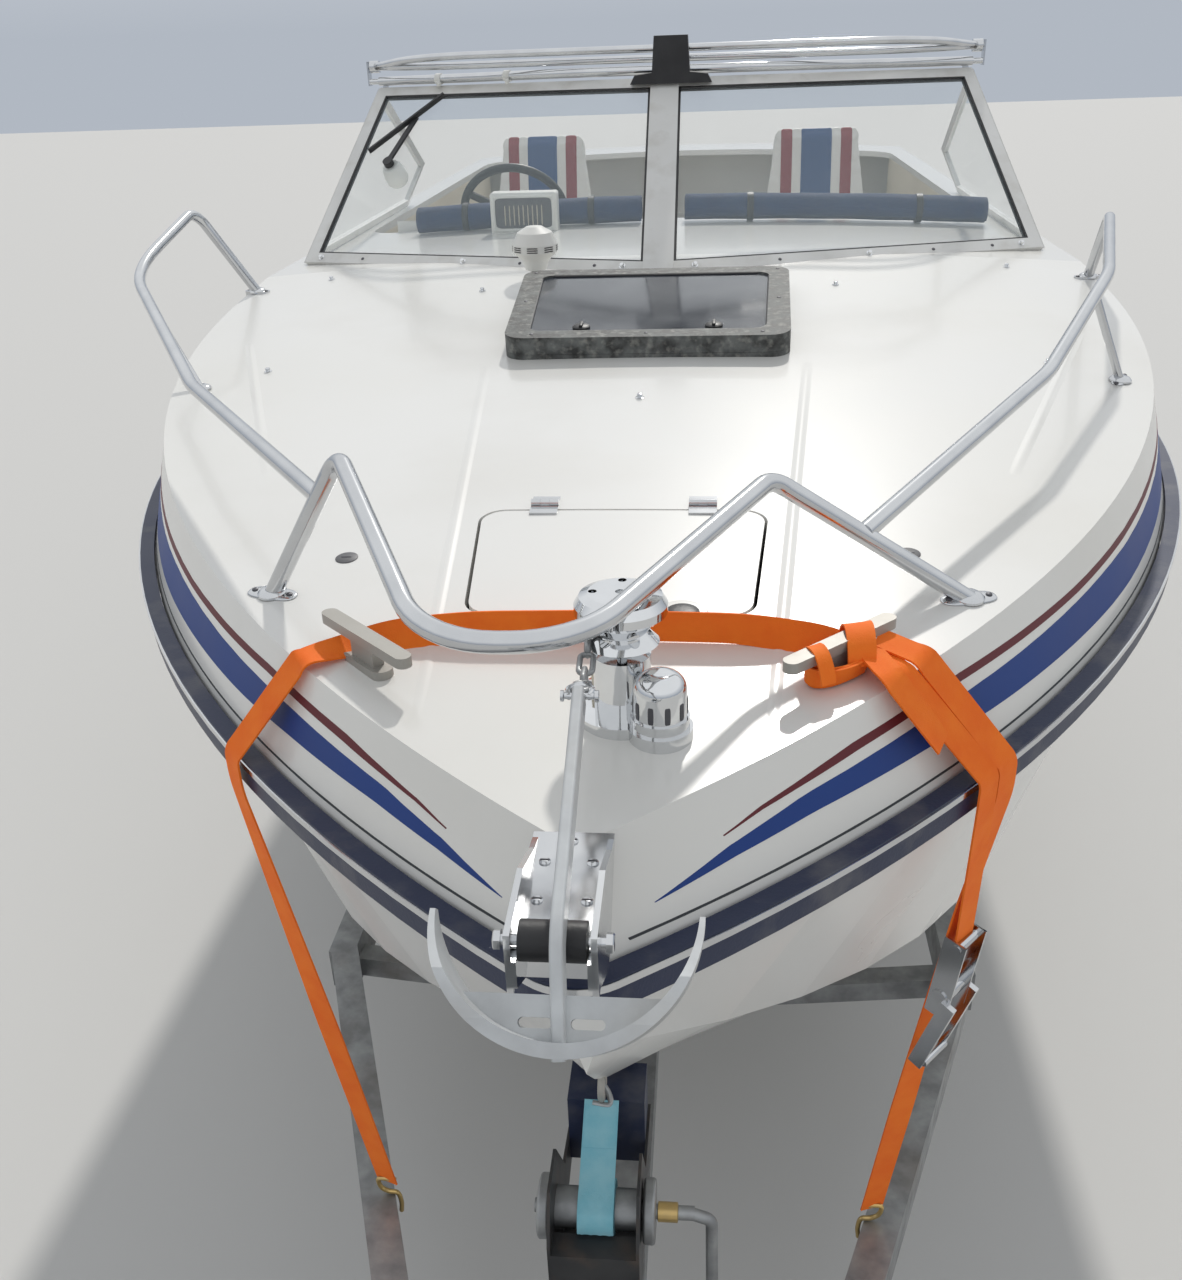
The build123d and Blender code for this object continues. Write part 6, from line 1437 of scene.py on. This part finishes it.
@dataclass
class Cushions:
    """Helm seats and aft bench: padded pieces blown up from the solids by cloth simulation."""

    voxel: float = 0.009
    quick_voxel: float = 0.016
    shrink: float = 0.008
    cap: float = 0.012
    pressure: float = 4.0
    frames: int = 20
    groove: float = 0.0035
    groove_half: float = 0.0045
    fill: float = 0.8
    seat_x: float = 0.525
    seat_half: float = 0.25
    seat_seams: tuple[float, ...] = (-0.134, -0.092, -0.058, 0.056, 0.090, 0.132)
    bench: tuple[tuple[float, tuple[float, ...]], ...] = ((-0.706, (-0.14, 0.14)), (0.0, (-0.24, 0.0, 0.24)),
                                                          (0.706, (-0.14, 0.14)))

    def split(self, node: str) -> list[bpy.types.Object]:
        """Copies a node's solids, one object each.

        Vertices get the lowest number that they reach over edges, so a solid is what shares one number.

        Args:
            node: the CAD node's name.

        Returns:
            The copies, from starboard to port.
        """
        work = bmesh.new()
        work.from_mesh(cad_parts[node].data)
        bmesh.ops.remove_doubles(work, verts=work.verts, dist=1e-5)
        mesh = bpy.data.meshes.new(node + "_copy")
        work.to_mesh(mesh)
        work.free()
        co = vertex_values(mesh, "co")
        ends = corner_numbers(mesh.edges, 2)
        tris = corner_numbers(mesh.polygons, 3)
        bpy.data.meshes.remove(mesh)
        label, before = np.arange(len(co)), None
        while not np.array_equal(label, before):
            before = label
            label = label.copy()
            for end in ends.T:
                np.minimum.at(label, end, before[ends].min(1))
            label = label[label]
        parts = []
        for group in np.unique(label):
            used, flat = np.unique(tris[label[tris[:, 0]] == group], return_inverse=True)
            parts.append(mesh_from_arrays(f"{node}_{len(parts) + 1}", co[used], flat.reshape(-1, 3)))
        return sorted(parts, key=lambda part: float(vertex_values(part.data, "co")[:, 0].mean()))

    def bake(self, obj: bpy.types.Object) -> None:
        """Applies the object's modifiers to its mesh.

        Args:
            obj: the object, which keeps its name for the new mesh.
        """
        mesh = bpy.data.meshes.new_from_object(obj.evaluated_get(bpy.context.evaluated_depsgraph_get()))
        old = obj.data
        obj.modifiers.clear()
        obj.data = mesh
        bpy.data.meshes.remove(old)
        mesh.name = obj.name

    def swell(self, obj: bpy.types.Object) -> None:
        """Remeshes a pad evenly, draws it in, blows it up as cloth and caps how far a point moved.

        Args:
            obj: the pad.
        """
        remesh = obj.modifiers.new("even", "REMESH")
        remesh.mode = "VOXEL"
        remesh.voxel_size = self.voxel
        remesh.use_smooth_shade = True
        soft = obj.modifiers.new("draw in", "DISPLACE")
        soft.strength = -self.shrink
        soft.mid_level = 0.0
        ease = obj.modifiers.new("ease", "SMOOTH")
        ease.factor = 0.5
        ease.iterations = 8
        self.bake(obj)
        start = vertex_values(obj.data, "co")
        cloth = obj.modifiers.new("blow up", "CLOTH")
        cloth.settings.use_pressure = True
        cloth.settings.uniform_pressure_force = self.pressure
        cloth.settings.effector_weights.gravity = 0.0
        cloth.settings.quality = 4
        cloth.point_cache.frame_start = 1
        cloth.point_cache.frame_end = self.frames
        for step in range(1, self.frames + 1):
            bpy.context.scene.frame_set(step)
        blown = obj.evaluated_get(bpy.context.evaluated_depsgraph_get())
        move = vertex_values(blown.data, "co") - start
        obj.modifiers.clear()
        bpy.context.scene.frame_set(1)
        far = np.linalg.norm(move, axis=1, keepdims=True)
        move *= np.minimum(1.0, self.cap / np.maximum(far, 1e-9))
        obj.data.vertices.foreach_set("co", (start + move).ravel())
        obj.data.update()

    def sew(self, obj: bpy.types.Object, centre: float, seams: Sequence[float]) -> None:
        """Sinks sewn channels: a point moves in against its normal by a bell of its distance from a seam.

        Args:
            obj: the pad.
            centre: its middle, to port.
            seams: seams that run fore and aft, by distance from the middle.
        """
        finer = obj.modifiers.new("finer", "SUBSURF")
        finer.levels = finer.render_levels = 1
        self.bake(obj)
        co, normal = (vertex_values(obj.data, kind) for kind in ("co", "normal"))
        deep = np.zeros(len(co), np.float32)
        for seam in seams:
            bell = np.exp(-((co[:, 0] - centre - seam) / self.groove_half) ** 2)
            deep = np.maximum(deep, bell * (np.abs(normal[:, 0]) < 0.8))
        obj.data.vertices.foreach_set("co", (co - normal * (deep * self.groove)[:, None]).ravel())
        smooth(obj.data)
        obj.data.update()

    def pad(self, obj: bpy.types.Object, centre: float, seams: Sequence[float],
            material: bpy.types.Material) -> None:
        """Finishes one padded piece.

        Args:
            obj: the solid's copy.
            centre: its middle, to port.
            seams: its seams, by distance from the middle.
            material: what covers it.
        """
        self.swell(obj)
        self.sew(obj, centre, seams)
        dress(obj, material)
        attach(obj, ROOT)
        LOG.info("%s: %d faces", obj.name, len(obj.data.polygons))

    def build(self) -> None:
        """Builds both helm seats and the three bench pads."""
        edges = self.seat_seams
        colours = (Palette.VINYL_RED, Palette.VINYL_BLUE, Palette.VINYL_RED)
        panels = tuple(zip(edges[::2], edges[1::2], colours))
        seats = self.split("seats")
        for obj, side, name in zip(seats, (-1, 1), ("starboard", "port")):
            vinyl = Vinyl(f"striped seat vinyl {name}", side * self.seat_x, self.seat_half, panels)
            self.pad(obj, side * self.seat_x, edges, vinyl.build())
        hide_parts("seats")
        pads = self.split("bench_cushions")
        for obj, (centre, seams) in zip(pads, self.bench):
            self.pad(obj, centre, seams, Palette.VINYL_WHITE.build())
        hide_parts("bench_cushions")


@dataclass
class LampTrim:
    """Painted shade in the slots, and the stem, of the mushroom lamp behind the hatch."""

    place: tuple[float, float] = (-0.308, 2.256)
    radius: float = 0.0555
    slots: int = 8
    slot: tuple[float, float, float] = (0.014, 0.0012, 0.0013)
    lifts: tuple[float, ...] = (0.070, 0.075, 0.080)
    stem: Profile = ((0.0125, 0.0), (0.0205, 0.001), (0.0205, 0.004), (0.0125, 0.007), (0.0125, 0.015),
                     (0.0100, 0.017))

    def build(self) -> None:
        """Builds dark marks of painted shade in the slots round the lamp's rim, and the black stem under it."""
        foot = on_deck(*self.place)
        parts = []
        for a in np.linspace(0, 2 * np.pi, self.slots, endpoint=False) - np.pi / 2:
            out, along = np.array([np.cos(a), np.sin(a), 0.0]), np.array([-np.sin(a), np.cos(a), 0.0])
            parts += [pill(foot + UP * lift + out * self.radius, self.slot, np.stack([along, out, UP]), 0.5, 12)
                      for lift in self.lifts]
        shell("lamp_slot_shade", parts, Palette.BLACK)
        shell("lamp_stem", [turned(self.stem, foot, (0, 0, 1), 24)], Palette.BLACK)


@dataclass
class InstrumentBox:
    """Bezel, window and ribs on the front of the small box on the dash."""

    rim: float = 0.011
    bezel_half: float = 0.004
    bezel_inset: float = 0.006
    window_half: float = 0.0018
    ribs: int = 9
    rib_half: float = 0.0016
    rib_spread: float = 0.55
    rib_height: float = 0.50

    def build(self) -> None:
        """Builds the face on the side of the box that looks forward."""
        low, high = (np.array(v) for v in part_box("instrument_box"))
        x, _, z = (low + high) / 2
        half_x, _, half_z = (high - low) / 2
        front = low[1] - BOW_Y - 0.0005
        thick, inset = self.bezel_half, self.bezel_inset
        bezel = [pill((x, front, z + side * (half_z - self.rim)), (half_x - inset, thick, thick), None, 0.3)
                 for side in (1, -1)]
        bezel += [pill((x + side * (half_x - self.rim), front, z), (thick, thick, half_z - inset), None, 0.3)
                  for side in (1, -1)]
        shell("box_bezel", bezel, Palette.LAMP_WHITE)
        edge = self.rim + thick
        window = pill((x, front + 0.001, z), (half_x - edge, self.window_half, half_z - edge), None, 0.2)
        shell("box_window", [window], Palette.FITTING)
        ribs = [pill((x + share * half_x, front - 0.0012, z - 0.006),
                     (self.rib_half, self.rib_half, half_z * self.rib_height), None, 0.5)
                for share in np.linspace(-self.rib_spread, self.rib_spread, self.ribs)]
        shell("box_ribs", ribs, Palette.CREAM)


@dataclass
class Helm:
    """Four dials on the console's sloping top, with bezels, scale marks and needles."""

    dials: tuple[float, ...] = (-0.800, -0.700, -0.395, -0.295)
    y: float = 3.248
    radius: float = 0.036
    top_y: float = 3.150
    top_lift: float = 0.020
    top_inset: float = 0.010
    slope: tuple[float, float] = (0.190, 0.030)
    marks: int = 11
    mark_span: float = 2.2
    mark: tuple[float, float, float] = (0.0030, 0.0006, 0.0005)
    needle: tuple[float, float, float] = (0.013, 0.0008, 0.0006)

    def build(self) -> None:
        """Builds the dials."""
        run, fall = self.slope
        z = float(FORM.deck_at(0, self.top_y)) + self.top_lift - self.top_inset - fall * (self.y - self.top_y) / run
        normal = unit(np.array([0.0, fall, run]))
        first = np.array([1.0, 0.0, 0.0])
        second = np.cross(normal, first)
        r = self.radius
        faces, rims, marks = [], [], []
        for x in self.dials:
            centre = np.array([x, self.y, z])
            faces.append(turned([(r - 0.002, -0.001), (r - 0.002, 0.0022), (0.0, 0.0026)], centre, normal, 32))
            rims.append(turned([(r, -0.001), (r, 0.004), (r - 0.0025, 0.0055), (r - 0.005, 0.0035),
                                (r - 0.005, -0.001)], centre, normal, 36))
            for a in np.linspace(-self.mark_span, self.mark_span, self.marks) + math.pi / 2:
                way = first * math.cos(a) + second * math.sin(a)
                marks.append(pill(centre + way * (r - 0.0105) + normal * 0.0027, self.mark,
                                  np.stack([way, np.cross(normal, way), normal]), 0.4, 8))
            way = unit(first * -0.6 + second * 0.8)
            marks.append(pill(centre + way * 0.010 + normal * 0.0032, self.needle,
                              np.stack([way, np.cross(normal, way), normal]), 0.6, 8))
        shell("dial_faces", faces, Palette.DIAL)
        shell("dial_rims", rims, Palette.CHROME)
        shell("dial_marks", marks, Palette.LAMP_WHITE)


@dataclass
class RoadGear:
    """Grooved tyres, wheel nuts, leaf springs, spring bolts and tail lamps of the trailer.

    Profiles are pairs of radius and height.
    """

    wheel_x: float = 1.055
    axle_y: float = 3.990
    tyre_r: float = 0.297
    tyre_w: float = 0.165
    rim_r: float = 0.170
    blocks: int = 64
    grooves: tuple[float, ...] = (-0.027, 0.0, 0.027)
    groove_half: float = 0.0035
    groove_depth: float = 0.0065
    notch_depth: float = 0.0055
    sipe_depth: float = 0.003
    nuts: int = 5
    nut_circle: float = 0.066
    nut: Profile = ((0.0115, -0.002), (0.0115, 0.009), (0.0090, 0.0125), (0.0, 0.013))
    dust_cap: Profile = ((0.036, 0.054), (0.036, 0.062), (0.033, 0.072), (0.024, 0.079), (0.0, 0.081))
    valve: Profile = ((0.004, -0.012), (0.004, 0.010), (0.0055, 0.011), (0.0055, 0.020))
    rail_x: float = 0.690
    rail_end: float = 5.800
    leaf_halves: tuple[float, ...] = (0.340, 0.270, 0.190, 0.120)
    leaf: tuple[float, float] = (0.050, 0.0078)
    leaf_pitch: float = 0.0085
    eye_z: float = 0.438
    spring_drop: float = 0.082
    clamp_z: tuple[float, float] = (0.262, 0.366)
    clamp_half: tuple[float, float] = (0.033, 0.040)
    clamp_r: float = 0.0055
    eye_bolt: Profile = ((0.015, -0.034), (0.015, 0.034), (0.009, 0.037), (0.009, -0.040))
    lamp_z: float = 0.510

    def tread(self, x: Array, a: Array) -> Array:
        """Radius over the tread.

        It dips in three grooves round the tyre, in slanting notches across the shoulders and in fine cuts
        between the grooves, whose places come from a sawtooth of the angle.

        Args:
            x: distances from the tyre's middle.
            a: angles.

        Returns:
            Radii, shape (len(x), len(a)).
        """
        half, across = self.tyre_w / 2, np.abs(x)
        crown = np.interp(across, [0, half - 0.040, half - 0.022, half - 0.003],
                          [self.tyre_r, self.tyre_r - 0.0005, self.tyre_r - 0.006, self.tyre_r - 0.026])
        groove = sum(np.exp(-(((x - c) / self.groove_half) ** 4)) for c in self.grooves)
        wave = (a[None] * self.blocks / (2 * np.pi) + 9.0 * across[:, None]) % 1.0
        notch = (wave < 0.22) * ((across > 0.031) & (across < half - 0.012))[:, None]
        sipe = ((wave + 0.5) % 1.0 < 0.13) * (across < 0.024)[:, None]
        return (crown[:, None] - self.groove_depth * np.minimum(groove, 1)[:, None] - self.notch_depth * notch
                - self.sipe_depth * sipe)

    def tyre(self, side: int, name: str) -> None:
        """Builds a grooved tyre, which replaces the plain one.

        Args:
            side: 1 to port, -1 to starboard.
            name: port or starboard.
        """
        half = self.tyre_w / 2
        shoulder = np.linspace(0.52, 1, 5)
        x = np.concatenate([-shoulder[:0:-1], np.linspace(-0.52, 0.52, 37), shoulder[1:]]) * half
        a = np.linspace(0, 2 * np.pi, self.blocks * 8, endpoint=False)
        x = x[np.abs(x) < half - 0.010]
        bead_r = self.rim_r + 0.0005
        wall_r, wall_x = np.array([
            (self.tyre_r - 0.026, half - 0.003), (self.tyre_r - 0.045, half - 0.0005), (self.tyre_r - 0.060, half),
            (0.215, half - 0.002), (0.195, half - 0.008), (self.rim_r + 0.014, half - 0.014),
            (bead_r, half - 0.017)]).T
        ring = np.ones_like(a)[None]
        rows_x = np.concatenate([-wall_x[::-1], x, wall_x, [wall_x[-1], -wall_x[-1]]])
        rows_r = np.concatenate([wall_r[::-1][:, None] * ring, self.tread(x, a), wall_r[:, None] * ring,
                                 bead_r * ring, bead_r * ring])
        grid = np.stack([side * self.wheel_x + np.broadcast_to(rows_x[:, None], rows_r.shape),
                         self.axle_y + rows_r * np.cos(a)[None], self.tyre_r + rows_r * np.sin(a)[None]], -1)
        tyre = shell(f"tread_tyre_{name}", [grid], Palette.TYRE, body=f"wheel_{name}", sharp=32)
        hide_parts(f"tyre_{name}")

    def wheel_trim(self, side: int, name: str) -> None:
        """Builds the wheel's nuts, the hub's dust cap and the valve, on the wheel's body.

        Args:
            side: 1 to port, -1 to starboard.
            name: port or starboard.
        """
        centre = np.array([side * self.wheel_x, self.axle_y, self.tyre_r])
        out = np.array([side, 0.0, 0.0])
        parts = []
        for a in np.linspace(0, 2 * np.pi, self.nuts, endpoint=False) + 0.3:
            place = centre + out * 0.0245 + self.nut_circle * np.array([0, math.cos(a), math.sin(a)])
            parts.append(turned(self.nut, place, out, 6))
        parts.append(turned(self.dust_cap, centre + out * 0.002, out, 28))
        parts.append(turned(self.valve, centre + out * 0.050 + UP * 0.128, out, 12))
        shell(f"wheel_nuts_{name}", parts, Palette.STAINLESS, body=f"wheel_{name}", sharp=25)

    def springs(self) -> None:
        """Builds the leaf springs: strips bent to a parabola, each shorter than the one over it, and their bolts."""
        leaves, bolts = [], []
        main = self.leaf_halves[0]
        reach, off = self.clamp_half
        for side in (-1, 1):
            x = side * self.rail_x
            for k, half in enumerate(self.leaf_halves):
                t = np.linspace(-1, 1, 40) * half
                z = self.eye_z - self.spring_drop * (1 - (t / main) ** 2) - self.leaf_pitch * k
                path = np.stack([np.full_like(t, x), self.axle_y + t, z], -1)
                leaves.append(carried(path, (1, 0, 0), flat_section(*self.leaf)))
            for dy, dx in ((-off, -reach), (-off, reach), (off, -reach), (off, reach)):
                low, high = (np.array([x + dx, self.axle_y + dy, z]) for z in self.clamp_z)
                bolts.append(carried(straight(low, high, 8), (1, 0, 0), round_section(self.clamp_r, 10)))
            bolts += [turned(self.eye_bolt, (x, self.axle_y + end, self.eye_z + 0.003), (1, 0, 0), 18)
                      for end in (-main, main)]
        shell("leaf_springs", leaves, Palette.BLACK_STEEL)
        shell("spring_bolts", bolts, Palette.GALVANISED)

    def lamps(self) -> None:
        """Builds the tail lamps on the side rails' ends: dark housings with red and amber lenses."""
        for name, finish, shift, size, square in (
                ("tail_lamp_cases", Palette.BLACK, (0, 0.012, 0), (0.034, 0.016, 0.046), 0.25),
                ("tail_lamp_red", Palette.LAMP_RED, (0, 0.026, 0.020), (0.029, 0.006, 0.019), 0.3),
                ("tail_lamp_amber", Palette.LAMP_AMBER, (0, 0.026, -0.022), (0.029, 0.006, 0.017), 0.3)):
            bases = [np.array([side * self.rail_x, self.rail_end - 0.004, self.lamp_z]) for side in (-1, 1)]
            shell(name, [pill(base + shift, size, None, square) for base in bases], finish)

    def build(self) -> None:
        """Builds the running gear's details."""
        for side, name in ((-1, "starboard"), (1, "port")):
            self.tyre(side, name)
            self.wheel_trim(side, name)
        self.springs()
        self.lamps()


@dataclass
class Studio:
    """Floor, light and the photograph's viewpoint."""

    eye: tuple[float, float, float] = (0.136, -0.872, 2.411)
    pitch: float = 26.61
    yaw: float = -6.22
    roll: float = -2.19
    focal_px: float = 1208.0
    photo_height: float = 1280.0
    sensor: float = 36.0
    floor_half: float = 40.0
    floor_z: float = -0.001
    floor_finish: Finish = Finish("pale floor", (0.62, 0.615, 0.60), roughness=0.9, rough_swing=0.0)
    sky: Colour = (0.93, 0.96, 1.0)
    sky_strength: float = 0.62
    horizon: Colour = (0.44, 0.48, 0.54)
    backdrop: Colour = (0.93, 0.95, 0.97)
    sun: Colour = (1.0, 0.97, 0.92)
    sun_energy: float = 1.9
    sun_spread: float = 2.5
    sun_way: tuple[float, float, float] = (-0.12, -1.10, -1.0)

    def place(self, data: bpy.types.ID) -> bpy.types.Object:
        """Puts a camera or lamp into the scene.

        Args:
            data: the camera or lamp.

        Returns:
            Its object.
        """
        obj = bpy.data.objects.new(data.name, data)
        bpy.context.scene.collection.objects.link(obj)
        return obj

    def camera(self) -> None:
        """Places the camera, its axes worked out from pitch, yaw and roll."""
        p, y, r = (math.radians(v) for v in (self.pitch, self.yaw, self.roll))
        ahead = Vector((math.sin(y) * math.cos(p), math.cos(y) * math.cos(p), -math.sin(p)))
        right = Vector((math.cos(y), -math.sin(y), 0.0))
        up = right.cross(ahead)
        right, up = right * math.cos(r) + up * math.sin(r), up * math.cos(r) - right * math.sin(r)
        data = bpy.data.cameras.new("photo view")
        data.sensor_width = self.sensor
        data.lens = self.sensor * self.focal_px / self.photo_height
        cam = self.place(data)
        turn = Matrix((right, up, -ahead)).transposed().to_4x4()
        cam.matrix_world = Matrix.Translation(row(self.eye)) @ turn
        bpy.context.scene.camera = cam

    def floor(self) -> None:
        """A pale floor under the wheels."""
        s, z = self.floor_half, self.floor_z
        verts = np.array([(-s, -s, z), (s, -s, z), (s, s, z), (-s, s, z)])
        obj = mesh_from_arrays("floor", verts, np.array([[0, 1, 2, 3]]))
        dress(obj, self.floor_finish.build())

    def world(self) -> None:
        """An even sky that lights, and a backdrop for the camera, metal and glass that darkens to the horizon."""
        world = bpy.data.worlds.new("pale sky")
        bpy.context.scene.world = world
        world.use_nodes = True
        nodes = Nodes(world.node_tree)
        sky = nodes.add("ShaderNodeBackground", {"Color": (*self.sky, 1.0), "Strength": self.sky_strength})
        place = nodes.add("ShaderNodeTexCoord").outputs["Generated"]
        height = nodes.add("ShaderNodeSeparateXYZ", {"Vector": place}).outputs["Z"]
        tint = nodes.blend(nodes.ramp(height, 0.01, 0.40), (*self.horizon, 1.0), (*self.backdrop, 1.0))
        shown = nodes.add("ShaderNodeBackground", {"Color": tint})
        path = nodes.add("ShaderNodeLightPath").outputs
        seen = nodes.maths("MAXIMUM", path["Is Camera Ray"], path["Is Glossy Ray"])
        seen = nodes.maths("MAXIMUM", seen, path["Is Transmission Ray"])
        mix = nodes.add("ShaderNodeMixShader", {"Fac": seen, 1: sky.outputs[0], 2: shown.outputs[0]})
        nodes.add("ShaderNodeOutputWorld", {"Surface": mix.outputs[0]})

    def light(self) -> None:
        """The sky and a sun high behind the boat."""
        self.world()
        sun = bpy.data.lights.new("soft sun", "SUN")
        sun.energy = self.sun_energy
        sun.angle = math.radians(self.sun_spread)
        sun.color = self.sun
        self.place(sun).rotation_euler = Vector(self.sun_way).to_track_quat("-Z", "Y").to_euler()
        bpy.context.scene.view_settings.view_transform = "Standard"


def dress_nodes() -> None:
    """Gives every solid of the frame its finish."""
    for name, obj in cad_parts.items():
        dress(obj, NODE_FINISH[name].build())


def main() -> None:
    """Builds the studio and every piece, in order."""
    logging.basicConfig(level=logging.INFO)
    studio = Studio()
    studio.camera()
    studio.floor()
    studio.light()
    dress_nodes()
    for part in (GunwaleStripes(), DeckTrim(), HatchTrim(), BowGear(), Webbing(), WinchGear(), ScreenTrim(),
                 CanvasRolls(), LampTrim(), InstrumentBox(), Helm(), RoadGear(), Cushions()):
        part.build()
        LOG.info("built %s", type(part).__name__)


if __name__ == "__main__":
    main()
